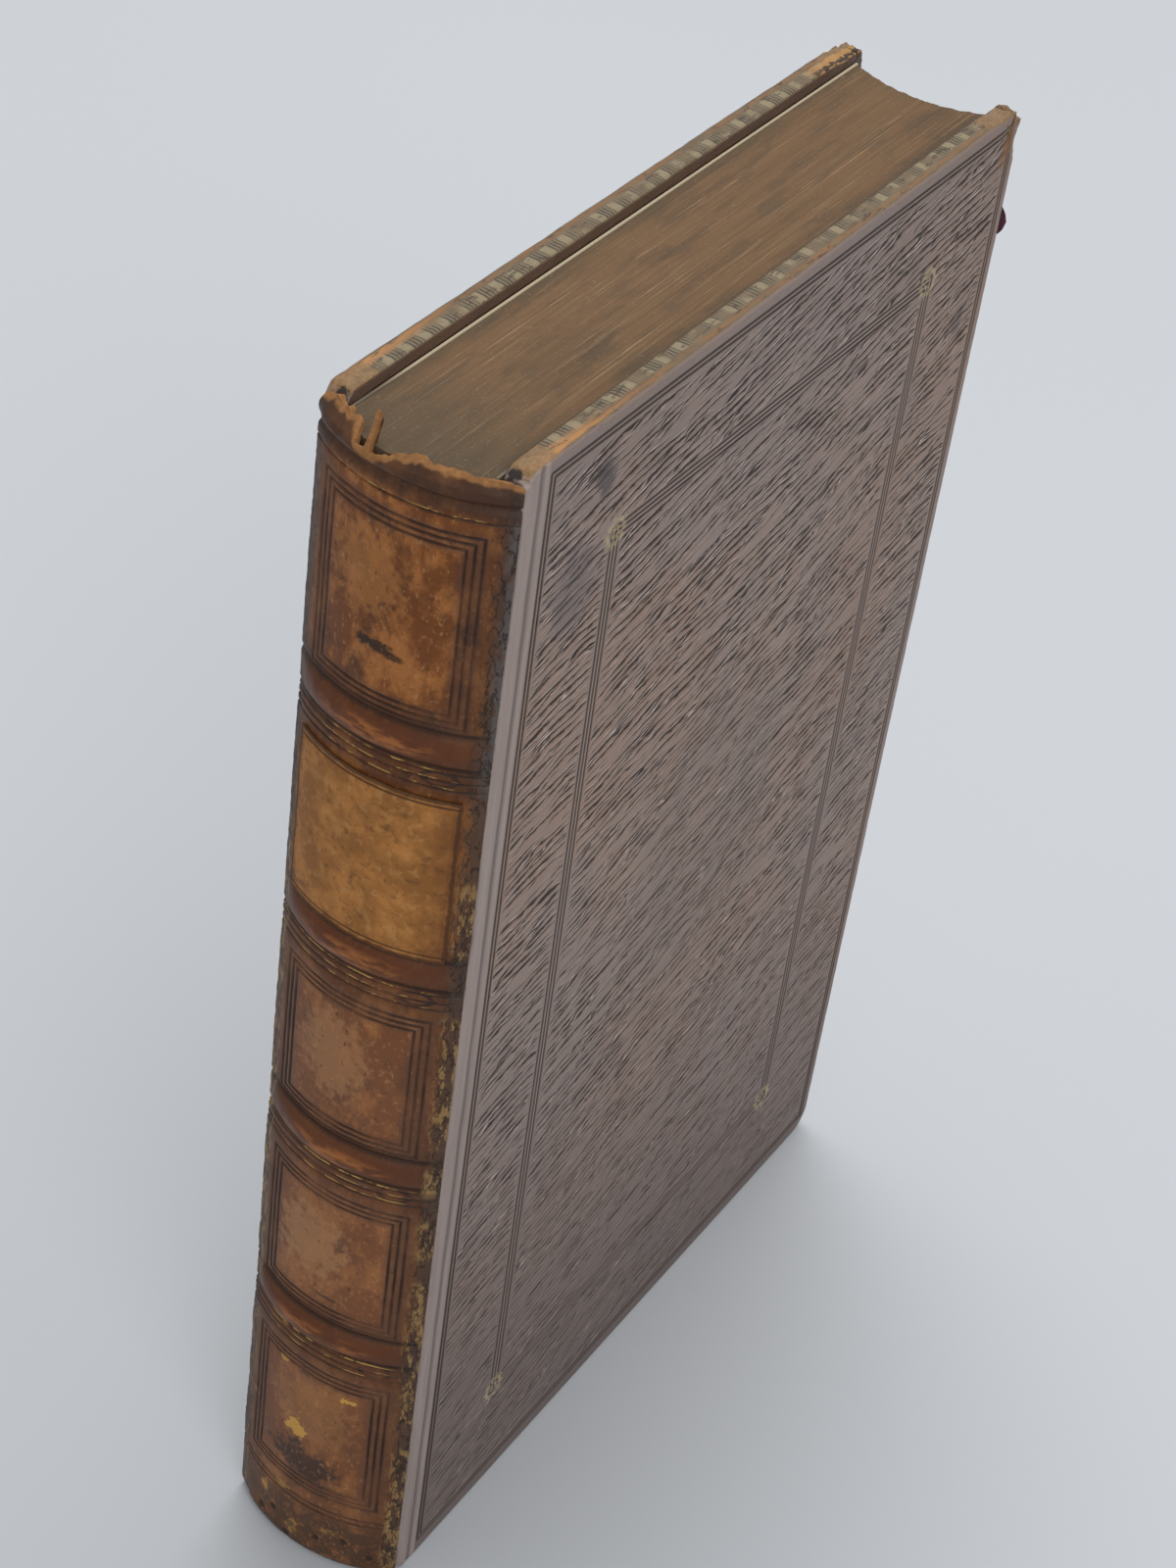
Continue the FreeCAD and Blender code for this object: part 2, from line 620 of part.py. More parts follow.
def make_ribbon(doc):
    """The end of the silk marker: out of the fore edge, then curled towards the front cover."""
    body = new_body(doc, "ribbon_marker")
    outline = new_sketch(body, "outline", "XY_Plane", RIBBON_FOOT)
    start = f"{PAGES_EDGE} - Sizes.ribbon_hold"
    half = "Sizes.ribbon_thickness / 2"
    edges = {}
    for name, sign in (("near", "-"), ("far", "+")):
        radius = f"(Sizes.ribbon_curl {sign} {half})"
        flat = f"(Sizes.ribbon_depth {sign} {half})"
        centre = "(Sizes.ribbon_depth - Sizes.ribbon_curl)"
        bend = [(f"{RIBBON_BEND} + {radius} * sin({angle})", f"{centre} + {radius} * cos({angle})")
                for angle in (f"{RIBBON_TURN} / 2", RIBBON_TURN)]
        tip = (
            f"{bend[1][0]} + Sizes.ribbon_end * cos({RIBBON_TURN})",
            f"{bend[1][1]} - Sizes.ribbon_end * sin({RIBBON_TURN})",
        )
        edges[name] = [(start, flat), (RIBBON_BEND, flat), bend[0], bend[1], tip]
    near = edges["near"]
    far = edges["far"]
    corners = [near[0], near[1], near[3], near[4], far[4], far[3], far[1], far[0]]
    draw_outline(outline, corners, {1: near[2], 5: far[2]})
    pad(body, outline, "Sizes.ribbon_width")
    slant = new_sketch(body, "slant", "XZ_Plane", "0")
    draw_outline(
        slant,
        [
            (f"{RIBBON_TIP} - Sizes.ribbon_slant", RIBBON_FOOT),
            (RIBBON_TIP, RIBBON_FOOT),
            (RIBBON_TIP, f"{RIBBON_FOOT} + Sizes.ribbon_slant"),
        ],
    )
    cut(body, slant)
    return body


def write_parts(doc, bodies):
    faults = [item.Name for item in doc.Objects if {"Invalid", "Error"} & set(item.State)]
    for body in bodies:
        if body.Shape.isNull() or not body.Shape.isValid() or len(body.Shape.Solids) != 1:
            faults.append(body.Label)
    if faults:
        raise RuntimeError(f"failed: {faults}")
    os.makedirs("parts", exist_ok=True)
    for body in bodies:
        body.Shape.exportStep(os.path.join("parts", f"{body.Label}.step"))
        box = body.Shape.BoundBox
        print(f"{body.Label}: {body.Shape.Volume:.1f} mm3, x {box.XMin:.2f} to {box.XMax:.2f},"
              f" y {box.YMin:.2f} to {box.YMax:.2f}, z {box.ZMin:.2f} to {box.ZMax:.2f}")


def main():
    doc = FreeCAD.newDocument("leather_book")
    add_sheet(doc)
    bodies = [make_text_block(doc)]
    for side in (FRONT, REAR):
        bodies.append(make_flyleaf(doc, side))
        bodies.append(make_cover_leather(doc, side))
        bodies.append(make_board(doc, side))
        bodies.append(make_pastedown(doc, side))
    for number in range(1, BAND_COUNT + 1):
        bodies.append(make_sewing_cord(doc, number))
    bodies.append(make_spine_leather(doc))
    bodies.append(make_title_label(doc))
    bodies.append(make_ribbon(doc))
    doc.recompute()
    write_parts(doc, bodies)


main()
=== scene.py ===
# %% [markdown]
# # An old octavo book in worn leather
#
# The book stands on its tail. Its boards carry straight-grained leather, its back was covered
# again in smooth calf, and the head of the spine is torn. The solids under this scene give every
# place and size, so the first cell loads them, and every new piece below is laid over one of them.

# %% The solids of the book
import json
import math

import bpy
import numpy as np
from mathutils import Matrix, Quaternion, Vector, noise


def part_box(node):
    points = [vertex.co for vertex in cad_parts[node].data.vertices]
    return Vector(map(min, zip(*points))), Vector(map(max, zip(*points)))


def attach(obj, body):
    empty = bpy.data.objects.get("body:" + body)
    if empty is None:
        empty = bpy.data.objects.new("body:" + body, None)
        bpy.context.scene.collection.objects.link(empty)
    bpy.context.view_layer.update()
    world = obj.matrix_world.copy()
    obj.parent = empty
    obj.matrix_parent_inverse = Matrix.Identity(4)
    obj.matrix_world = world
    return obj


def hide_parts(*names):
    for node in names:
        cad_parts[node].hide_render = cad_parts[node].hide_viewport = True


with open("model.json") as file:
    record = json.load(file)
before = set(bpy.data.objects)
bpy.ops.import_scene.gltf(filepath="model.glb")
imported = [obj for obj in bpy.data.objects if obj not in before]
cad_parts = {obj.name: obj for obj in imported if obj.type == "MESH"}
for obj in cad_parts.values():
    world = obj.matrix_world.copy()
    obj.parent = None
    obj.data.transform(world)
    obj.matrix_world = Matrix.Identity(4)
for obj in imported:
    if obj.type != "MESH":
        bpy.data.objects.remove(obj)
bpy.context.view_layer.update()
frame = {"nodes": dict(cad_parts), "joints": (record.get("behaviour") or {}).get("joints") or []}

print("solids:", ", ".join(sorted(frame["nodes"])))

# %% [markdown]
# ## Sizes
#
# A bookbinder thinks in millimetres, so all sizes here are millimetres and one factor turns them
# into Blender's metres at the end. They could be typed again, but then a changed solid would leave
# the leather behind. So they are read from the boxes of the solids, and only what a box can't
# tell, such as how far the bands stand out, is written down.

# %% Millimetres and the boxes of the solids
MM = 0.001
FRONT = -1
REAR = 1
SIDES = {"front": FRONT, "rear": REAR}


def solid_corners(node):
    """The lowest and highest corner of a solid, in millimetres."""
    low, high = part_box(node)
    return np.array(low) / MM, np.array(high) / MM


cover_low, cover_high = solid_corners("rear_cover_leather")
pages_low, pages_high = solid_corners("text_block")
spine_low, _ = solid_corners("spine_leather")
label_low, label_high = solid_corners("title_label")
ribbon_low, ribbon_high = solid_corners("ribbon_marker")

HALF = cover_high[1]
HEIGHT = cover_high[2]
JOINT = frame["joints"][0]["pos_m"][0] / MM
FORE_EDGE = cover_high[0]
BAND_HEIGHT = 1.5
BAND_WIDTH = 5.0
BAND_END = 1.2
LEATHER = 0.9
BULGE = JOINT - spine_low[0] - BAND_HEIGHT
BACK_RADIUS = (HALF**2 + BULGE**2) / (2 * BULGE)
BACK_CENTRE = JOINT - BULGE + BACK_RADIUS
BANDS = [sum(solid_corners(f"sewing_cord_{number}"))[2] / 2 for number in (1, 2, 3, 4)]
print("joint at x", round(JOINT, 2), "and bands at z", np.round(BANDS, 1))

# %% [markdown]
# ## The camera
#
# The photograph was taken from above the spine side, with the camera slightly tilted. It can be
# turned by hand until it fits, or be given its place, the point it looks at and its roll. The
# second way is kept here, because three plain facts are easier to check than nine angles.

# %% A camera at the photograph's viewpoint
CAMERA_PLACE = Vector((-369.67, -189.45, 456.13))
CAMERA_TARGET = Vector((-1.71, 5.19, 120.05))
CAMERA_ROLL = math.radians(8.317)
CAMERA_LENS = 74.98


def add_camera():
    camera = bpy.data.objects.new("camera", bpy.data.cameras.new("camera"))
    bpy.context.scene.collection.objects.link(camera)
    camera.data.lens = CAMERA_LENS
    camera.data.sensor_width = 36
    camera.data.clip_start = 0.01
    camera.location = CAMERA_PLACE * MM
    level = (CAMERA_TARGET - CAMERA_PLACE).to_track_quat("-Z", "Y")
    camera.rotation_mode = "QUATERNION"
    camera.rotation_quaternion = level @ Quaternion((0, 0, 1), CAMERA_ROLL)
    bpy.context.scene.camera = camera
    return camera


camera = add_camera()
print("camera", [round(value, 3) for value in camera.location])

# %% [markdown]
# ## Materials as sums
#
# A finish is a network of nodes. It could be drawn by hand in the shader editor, but old leather
# needs many masks that are added and multiplied. So a socket is wrapped in a small class, and
# then `wear * (1 - gilt)` in Python adds the two Math nodes. One method adds any other node.

# %% A signal that takes part in Python sums
class Signal:
    """A number that varies over a surface: the output socket of a node."""

    def __init__(self, finish, socket):
        self.finish = finish
        self.socket = socket

    def sum(self, operation, *others):
        values = {number: other for number, other in enumerate((self, *others))}
        return self.finish.node("ShaderNodeMath", {"operation": operation}, values)

    def __add__(self, other):
        return self.sum("ADD", other)

    def __sub__(self, other):
        return self.sum("SUBTRACT", other)

    def __rsub__(self, other):
        return (self * -1).sum("ADD", other)

    def __mul__(self, other):
        return self.sum("MULTIPLY", other)

    def __truediv__(self, other):
        return self.sum("DIVIDE", other)

    def __pow__(self, other):
        return self.sum("POWER", other)

    def __abs__(self):
        return self.sum("ABSOLUTE")

    __radd__ = __add__
    __rmul__ = __mul__


# %% A finish and the one method that adds its nodes
class Finish:
    """A material under construction, with the place on the object in millimetres."""

    def __init__(self, name, roughness=0.6, **constants):
        self.material = bpy.data.materials.new(name)
        self.material.use_nodes = True
        self.tree = self.material.node_tree
        self.shader = self.tree.nodes["Principled BSDF"]
        self.shader.inputs["Roughness"].default_value = roughness
        for socket, value in constants.items():
            self.shader.inputs[socket.replace("_", " ")].default_value = value
        self.place = self.node("ShaderNodeTexCoord", output="Object")
        split = self.tree.nodes.new("ShaderNodeSeparateXYZ")
        self.feed(split.inputs[0], self.place)
        self.x, self.y, self.z = (Signal(self, output) * (1 / MM) for output in split.outputs)

    def feed(self, socket, value):
        if isinstance(value, Signal):
            self.tree.links.new(value.socket, socket)
        else:
            socket.default_value = value

    def node(self, kind, settings=None, inputs=None, output=0):
        made = self.tree.nodes.new(kind)
        for name, value in (settings or {}).items():
            setattr(made, name, value)
        for name, value in (inputs or {}).items():
            self.feed(made.inputs[name], value)
        return Signal(self, made.outputs[output])

    def rise(self, value, low, high):
        """0 below low, 1 above high and a soft step between."""
        inputs = {"Value": value, "From Min": low, "From Max": high}
        return self.node("ShaderNodeMapRange", {"interpolation_type": "SMOOTHSTEP"}, inputs)

    def line(self, distance, width, soft=0.12):
        """1 on a line where a distance is 0, and 0 beside it."""
        return 1 - self.rise(abs(distance), width / 2 - soft, width / 2 + soft)

    def noise(self, place, detail, roughness):
        inputs = {"Vector": place, "Scale": 1.0, "Detail": detail, "Roughness": roughness}
        return self.node("ShaderNodeTexNoise", {"normalize": True}, inputs)

    def grain(self, size, detail=3, roughness=0.55, shift=0):
        """Soft noise from 0 to 1, with bumps of the given size in millimetres along x, y and z."""
        scale = tuple(1 / (MM * length) for length in size)
        inputs = {0: self.place, 1: scale, 2: (shift, shift, shift)}
        place = self.node("ShaderNodeVectorMath", {"operation": "MULTIPLY_ADD"}, inputs)
        return self.noise(place, detail, roughness)

    def blotches(self, size, low, high, **grain):
        """Patches where the grain is higher than low, with soft edges."""
        return self.rise(self.grain(size, **grain), low, high)

    def attribute(self, name):
        return self.node("ShaderNodeAttribute", {"attribute_name": name}, output="Fac")

    def mix(self, share, one, other):
        inputs = {0: share, 6: colour(one), 7: colour(other)}
        settings = {"data_type": "RGBA", "clamp_factor": True}
        return self.node("ShaderNodeMix", settings, inputs, output=2)

    def coats(self, ground, *coats):
        """Lays coats over a ground, each given as its share and its colour."""
        for share, tone in coats:
            ground = self.mix(share, ground, tone)
        return ground

    def bump(self, height, strength, distance):
        inputs = {"Height": height, "Strength": strength, "Distance": distance * MM}
        return self.node("ShaderNodeBump", inputs=inputs)

    def paint(self, **signals):
        for socket, value in signals.items():
            self.feed(self.shader.inputs[socket.replace("_", " ")], value)
        print("finish", self.material.name, "has", len(self.tree.nodes), "nodes")
        return self.material


def colour(value):
    return value if isinstance(value, Signal) else (*value, 1.0)


def larger(one, other):
    """The larger of two numbers or signals."""
    return (one + other + abs(one - other)) * 0.5


# %% [markdown]
# ## Floor and light
#
# The photograph has a pale grey-blue table without an edge in sight, and light so soft that the
# only shadow lies close to the foot of the book. A wide floor and a pale sky give that, and a
# painted shadow darkens the floor beside the spine's foot. Two large lamps, one above and one over
# the spine, add the slight modelling on the leather.

# %% The pale floor
FLOOR_SIZE = 6.0


def add_floor():
    bpy.ops.object.select_all(action="DESELECT")
    bpy.ops.mesh.primitive_plane_add(size=FLOOR_SIZE, location=(0, 0, 0))
    floor = bpy.context.object
    floor.name = "floor"
    finish = Finish("pale_table", roughness=0.75)
    cloudy = finish.grain((700, 700, 700), detail=2)
    table = finish.mix(cloudy, (0.500, 0.520, 0.545), (0.540, 0.560, 0.585))
    # Painted shadow: the floor is darker round a place beside the spine's foot
    painted_shadow = 1 - finish.rise(((finish.x + 190) ** 2 + (finish.y - 40) ** 2) ** 0.5, 20, 300)
    table = finish.mix(painted_shadow * 0.4, table, (0.30, 0.315, 0.33))
    far = finish.rise((finish.x ** 2 + finish.y ** 2) ** 0.5, 500, 2200)
    floor.data.materials.append(finish.paint(Base_Color=finish.mix(far, table, (0.80, 0.83, 0.86))))
    return floor


floor = add_floor()

# %% Soft studio light
SKY_STRENGTH = 0.62
SKY_COLOUR = (0.97, 0.985, 1.0, 1.0)


def add_lamp(name, place, target, size, power):
    lamp = bpy.data.objects.new(name, bpy.data.lights.new(name, "AREA"))
    bpy.context.scene.collection.objects.link(lamp)
    lamp.data.shape = "DISK"
    lamp.data.size = size
    lamp.data.energy = power
    lamp.location = place
    lamp.rotation_mode = "QUATERNION"
    lamp.rotation_quaternion = (Vector(target) - Vector(place)).to_track_quat("-Z", "Y")
    return lamp


def add_sky():
    sky = bpy.data.worlds.new("pale_sky")
    sky.use_nodes = True
    background = sky.node_tree.nodes["Background"]
    background.inputs["Color"].default_value = SKY_COLOUR
    background.inputs["Strength"].default_value = SKY_STRENGTH
    bpy.context.scene.world = sky


bpy.context.scene.view_settings.view_transform = "Standard"
add_sky()
top_lamp = add_lamp("top_lamp", (0.5, 0.3, 1.5), (0, 0, 0.1), 1.1, 13.0)
side_lamp = add_lamp("side_lamp", (-0.9, -1.0, 1.1), (0, 0, 0.1), 1.0, 9.0)
print("lamps", top_lamp.data.energy, side_lamp.data.energy)

# %% [markdown]
# ## Shaping helpers
#
# Leather, paper and silk are all thin sheets that lie over something. Each starts as a grid
# primitive whose columns and rows are moved to chosen places, so that every tooled line gets
# vertices of its own. Noise then moves the vertices, as fingers, damp and years did.

# %% Selecting, editing and moving vertices
SEED_STEP = 17.3


def activate(piece):
    bpy.ops.object.select_all(action="DESELECT")
    piece.select_set(True)
    bpy.context.view_layer.objects.active = piece


def points_of(piece):
    places = np.empty(len(piece.data.vertices) * 3)
    piece.data.vertices.foreach_get("co", places)
    return places.reshape(-1, 3) / MM


def move_points(piece, places):
    piece.data.vertices.foreach_set("co", (places * MM).ravel())
    piece.data.update()


def store(piece, name, values):
    """Keeps one number per vertex, for a finish to read."""
    attribute = piece.data.attributes.new(name, "FLOAT", "POINT")
    attribute.data.foreach_set("value", np.asarray(values, np.float32))


def flat_places(across, up):
    """Places on a plane, for noise that is the same at every depth."""
    return np.column_stack([across, up, np.zeros_like(up)])


def waves(places, sizes, seed):
    """Soft noise between -1 and 1 at each place, with bumps of the given sizes."""
    scaled = np.asarray(places) / sizes + seed * SEED_STEP
    return np.array([noise.noise(place) for place in scaled])


def finish_piece(piece, body, slot, material, *nodes, angle=60):
    """Smooths a piece, gives it its finish and hangs it on its body in place of its solid."""
    activate(piece)
    bpy.ops.object.shade_smooth_by_angle(angle=math.radians(angle))
    piece.data.materials.clear()
    piece.data.materials.append(material)
    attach(piece, body)
    if nodes:
        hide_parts(*nodes)
    triangles = sum(len(face.vertices) - 2 for face in piece.data.polygons)
    print(piece.name, "has", triangles, "triangles")


# %% A grid with columns and rows of its own
LINE_HALF = 0.28


def tooled_places(start, end, spacing, lines, single=()):
    """Places from start to end, evenly spaced, with three of their own at each tooled line."""
    own = [line + shift for line in lines for shift in (-LINE_HALF, 0, LINE_HALF)] + list(single)
    even = np.linspace(start, end, round((end - start) / spacing) + 1)
    clear = LINE_HALF / 2
    inner = [place for place in even[1:-1] if all(abs(place - line) > clear for line in own)]
    return np.array(sorted([start, *inner, *own, end]))


def lay_grid(name, columns, rows):
    """A grid in the plane of x and z, in millimetres, that faces the front."""
    bpy.ops.object.select_all(action="DESELECT")
    bpy.ops.mesh.primitive_grid_add(
        x_subdivisions=len(columns) - 1, y_subdivisions=len(rows) - 1, size=1,
        rotation=(math.pi / 2, 0, 0),
    )
    piece = bpy.context.object
    piece.name = name
    bpy.ops.object.transform_apply(location=True, rotation=True, scale=True)
    places = points_of(piece) * MM
    places[:, 0] = np.interp(places[:, 0], np.linspace(-0.5, 0.5, len(columns)), columns)
    places[:, 2] = np.interp(places[:, 2], np.linspace(-0.5, 0.5, len(rows)), rows)
    move_points(piece, places)
    return piece


print("a tooled line is", 2 * LINE_HALF, "mm wide")

# %% [markdown]
# ## Tooled frames
#
# The binder pressed thin lines into the damp leather with a hot tool: two along the edges
# and a frame of three further in. They could be drawn in colour alone, but then they would not
# catch the light. A line is where the distance to a frame is a whole number of pitches. The same
# sum is used twice, on numbers to press the mesh and on signals to darken the leather, so the
# groove and its colour can't part.

# %% Frames and their distance
LINE_PITCH = 0.9


class ToolFrame:
    """A rectangle of pressed lines, given by its outermost line."""

    def __init__(self, left, right, low, high, count, pitch=LINE_PITCH):
        self.middle = ((left + right) / 2, (low + high) / 2)
        self.half = ((right - left) / 2, (high - low) / 2)
        self.steps = [number * pitch for number in range(count)]

    def outside(self, across, up):
        """How far a place lies outside the outermost line, and below 0 inside it."""
        return larger(
            abs(across - self.middle[0]) - self.half[0], abs(up - self.middle[1]) - self.half[1]
        )

    def groove(self, across, up):
        """1 in a pressed line and 0 beside it, for numbers."""
        outside = self.outside(across, up)
        return sum(np.clip(1 - np.abs(outside + step) / LINE_HALF, 0, 1) for step in self.steps)

    def lines_along(self, axis):
        middle, half = self.middle[axis], self.half[axis]
        return [middle + sign * (half - step) for sign in (-1, 1) for step in self.steps]

    def upright_lines(self):
        return self.lines_along(0)

    def level_lines(self):
        return self.lines_along(1)

    def mark(self, finish, across, up, width):
        """The lines as a signal."""
        outside = self.outside(across, up)
        return sum(finish.line(outside + step, width) for step in self.steps)


border = ToolFrame(JOINT + 6.5, FORE_EDGE - 2.4, 3.2, HEIGHT - 2.4, 2)
panel = ToolFrame(JOINT + 25.1, FORE_EDGE - 23.2, 24.1, HEIGHT - 20.8, 3)
ROSETTE = (panel.half[0] - LINE_PITCH, panel.half[1] - LINE_PITCH)
print("panel lines at x", np.round(panel.upright_lines(), 1))

# %% [markdown]
# ## Cover leather
#
# Each board is wrapped in one skin: over the outer face, round the edges and a finger's breadth
# in on the inside. A cube with bevelled edges would be too clean. So the outer face is a fine
# grid, its open edge is extruded ring by ring round the board and back into the hollow that the
# board fills, and then the grain, the pressed lines and the worn corners are moved into it.

# %% The skin of one cover
ROW_SPACING = 0.38
COLUMN_SPACING = 1.85
FACE_INSET = 0.9
STRIP_HOLLOW = 4.3
# More columns where the leather is rounded along the joint, and where the corner is worn
JOINT_COLUMNS = [JOINT + step for step in (1.5, 2.1, 2.9, 3.7, 4.3, 4.9, 5.6)]
CORNER_COLUMNS = [FORE_EDGE - step for step in (1.5, 4.1, 5.0, 6.2)]
# How far in from the outline and how deep below the outer face each ring lies
EDGE_RINGS = [
    (0.45, 0.12), (0.15, 0.4), (0.0, 0.9), (0.0, 1.6), (0.0, 2.4), (0.0, 3.2), (0.1, 3.8),
    (0.5, 4.2), (8.0, 4.2), (8.0, 3.8), (0.9, 3.8), (0.9, 0.9),
]


def pull_ring(middle, along_y, resize):
    """Extrudes the selected edge loop along y and resizes it about the middle of the cover."""
    bpy.ops.mesh.extrude_region_move(TRANSFORM_OT_translate={"value": (0, along_y * MM, 0)})
    bpy.ops.transform.resize(value=resize, center_override=middle)


def cover_skin(name, side):
    rows = tooled_places(
        FACE_INSET, HEIGHT - FACE_INSET, ROW_SPACING, border.level_lines() + panel.level_lines()
    )
    columns = tooled_places(
        cover_low[0] + FACE_INSET, FORE_EDGE - FACE_INSET, COLUMN_SPACING,
        border.upright_lines() + panel.upright_lines(), JOINT_COLUMNS + CORNER_COLUMNS,
    )
    skin = lay_grid(name, columns, rows)
    places = points_of(skin)
    places[:, 1] = side * HALF
    move_points(skin, places)
    activate(skin)
    bpy.ops.object.mode_set(mode="EDIT")
    bpy.ops.mesh.select_mode(type="EDGE")
    bpy.ops.mesh.select_all(action="DESELECT")
    bpy.ops.mesh.select_non_manifold()
    middle = ((cover_low[0] + FORE_EDGE) / 2 * MM, 0, HEIGHT / 2 * MM)
    width = FORE_EDGE - cover_low[0]
    inset, depth = FACE_INSET, 0.0
    for next_inset, next_depth in EDGE_RINGS:
        wide, tall = [(size - 2 * next_inset) / (size - 2 * inset) for size in (width, HEIGHT)]
        pull_ring(middle, side * (depth - next_depth), (wide, 1, tall))
        inset, depth = next_inset, next_depth
    bpy.ops.mesh.edge_face_add()
    bpy.ops.mesh.select_all(action="SELECT")
    bpy.ops.mesh.normals_make_consistent(inside=False)
    bpy.ops.object.mode_set(mode="OBJECT")
    print(name, "has", len(skin.data.vertices), "vertices")
    return skin


covers = {name: cover_skin(f"{name}_cover_skin", side) for name, side in SIDES.items()}

# %% Corners: two cut on a slant by the joint, two worn round at the fore edge
BACK_CORNER = 2.2
HEAD_CORNER = 2.2
TAIL_CORNER = 5.0
FRAYED = 9.0
# The crack across the head corner: its place from the fore edge and its lean
CRACK_PLACE = 2.6
CRACK_LEAN = 0.3


def wear_corner(places, corner, inward, size, slanted):
    """Moves what lies in a square at a corner into a slant or a quarter circle."""
    across = (corner[0] + inward[0] * size - places[:, 0]) * inward[0] / size
    up = (corner[1] + inward[1] * size - places[:, 2]) * inward[1] / size
    inside = (across > 0) & (up > 0)
    across, up = across[inside], up[inside]
    span = across + up if slanted else np.hypot(across, up)
    share = np.maximum(across, up) / np.maximum(span, 1e-6)
    places[inside, 0] = corner[0] + inward[0] * size * (1 - across * share)
    places[inside, 2] = corner[1] + inward[1] * size * (1 - up * share)


def wear_corners(places):
    for up, inward in ((0, 1), (HEIGHT, -1)):
        wear_corner(places, (cover_low[0], up), (1, inward), BACK_CORNER, True)
    wear_corner(places, (FORE_EDGE, 0), (-1, 1), TAIL_CORNER, False)
    wear_corner(places, (FORE_EDGE, HEIGHT), (-1, -1), HEAD_CORNER, False)


def fray_head_corner(places, side, seed):
    """The leather at the head of the fore edge is rubbed into lumps and cracked across."""
    from_edge = FORE_EDGE - places[:, 0]
    from_head = HEIGHT - places[:, 2]
    near = np.clip(1 - np.hypot(from_edge, from_head) / FRAYED, 0, 1) ** 0.5
    coarse = 1.3 * waves(places, (2.6, 1.7, 2.6), seed)
    fine = 0.6 * waves(places, (0.9, 0.8, 0.9), seed + 1)
    lumps = near * np.clip(0.6 + (coarse + fine), 0, 1.4)
    across = from_edge - CRACK_PLACE - CRACK_LEAN * from_head
    crack = near * np.exp(-((across / 0.4) ** 2))
    outer = HALF - side * places[:, 1] < 1.4
    places[:, 0] -= 0.8 * lumps * (from_edge < 2.5)
    places[:, 2] -= (0.8 * lumps + 1.1 * crack) * (from_head < 2.5)
    places[:, 1] -= side * (0.3 * lumps + 0.6 * crack) * outer


# %% The straight grain and the pressed lines
# How far apart two creases lie in the noise that gives each its own depths
CREASE_STEP = 3.7
# How deep a crease and a tooled line go at most
GRAIN_DEPTH = 0.34
PRESSED = 0.36
# Two families of creases: their rise towards the fore edge, pitch, length and mean depth
CREASES = {"long": (0.155, 1.5, 10.0, 0.52), "short": (0.27, 1.25, 4.5, 0.16)}


def lay_creases(across, up, seed, rise, pitch, length, mean_depth):
    """The turn of the grain, a whole number at each crease, and how deep that crease is."""
    flat = flat_places(across, up)
    sway = 1.7 * waves(flat, (26, 18, 1), seed) + 0.45 * waves(flat, (6, 3, 1), seed + 1)
    turn = (up - rise * across + sway) / pitch
    own = flat_places(across / length, np.round(turn) * CREASE_STEP)
    return turn, np.clip(mean_depth + 1.5 * waves(own, (1, 1, 1), seed + 2), 0, 1)


def grain_left(across, up):
    """1 where the grain stands, 0 where the tooling has smoothed it."""
    inside_border = np.clip(-border.outside(across, up) - 1.3, 0, 1)
    off_panel = np.clip((np.abs(panel.outside(across, up) + LINE_PITCH) - 1.2) / 0.5, 0, 1)
    return inside_border * off_panel


def press_grain(skin, across, up, seed):
    """Stores the creases for the finish, and tells how deep the leather lies in them."""
    kept = grain_left(across, up) * (0.55 + 0.45 * np.clip((up - 10) / 100, 0, 1))
    valley = np.zeros_like(up)
    for name, measures in CREASES.items():
        turn, depth = lay_creases(across, up, seed + len(name), *measures)
        store(skin, f"{name}_turn", turn)
        store(skin, f"{name}_depth", depth * kept)
        valley = np.maximum(valley, depth * kept * (0.5 + 0.5 * np.cos(turn * 2 * math.pi)) ** 1.5)
    return GRAIN_DEPTH * valley


# %% Pressing and wearing both covers
def press_cover(skin, side, seed):
    """Moves the grain, the tooled lines, the strip along the joint and the wear into a cover."""
    places = points_of(skin)
    depth = HALF - side * places[:, 1]
    across, up = places[:, 0].copy(), places[:, 2].copy()
    on_face = np.clip(1 - depth / 0.2, 0, 1)
    from_joint = across - JOINT
    lines = np.clip(border.groove(across, up) + panel.groove(across, up), 0, 1)
    flat = flat_places(across, up)
    sag = 0.12 + 0.12 * waves(flat, (40, 60, 1), seed + 5)
    round_edge = 0.45 * np.clip(1 - from_joint / 2.2, 0, 1) ** 2
    hollow = 0.28 * np.exp(-(((from_joint - STRIP_HOLLOW) / 0.7) ** 2))
    dents = 0.1 * waves(flat, (2.2, 9, 1), seed + 6) * (from_joint < 6)
    inward = press_grain(skin, across, up, seed) + PRESSED * lines + sag
    inward = inward + round_edge + hollow + dents + 0.1
    places[:, 1] -= side * on_face * np.clip(inward, 0.0, 1.1)
    rim = (depth > 0.1) & (depth < 4.3)
    rough = waves(places, (5, 1.5, 5), seed + 7) + 0.6 * waves(places, (1.6, 0.9, 1.6), seed + 8)
    inset = 0.13 * (1 + rough) * rim
    by_joint = np.where(from_joint < 1.2, 1.6 * inset, 0)
    places[:, 0] += np.where(across > FORE_EDGE - 1, -inset, by_joint)
    places[:, 2] += np.where(up > HEIGHT - 1, -inset, np.where(up < 1, inset * 0.3, 0))
    wear_corners(places)
    fray_head_corner(places, side, seed + 40)
    move_points(skin, places)


for seed, (name, side) in enumerate(SIDES.items(), 1):
    press_cover(covers[name], side, seed)
    print(name, "cover pressed, from", np.round(points_of(covers[name]).min(0), 2))
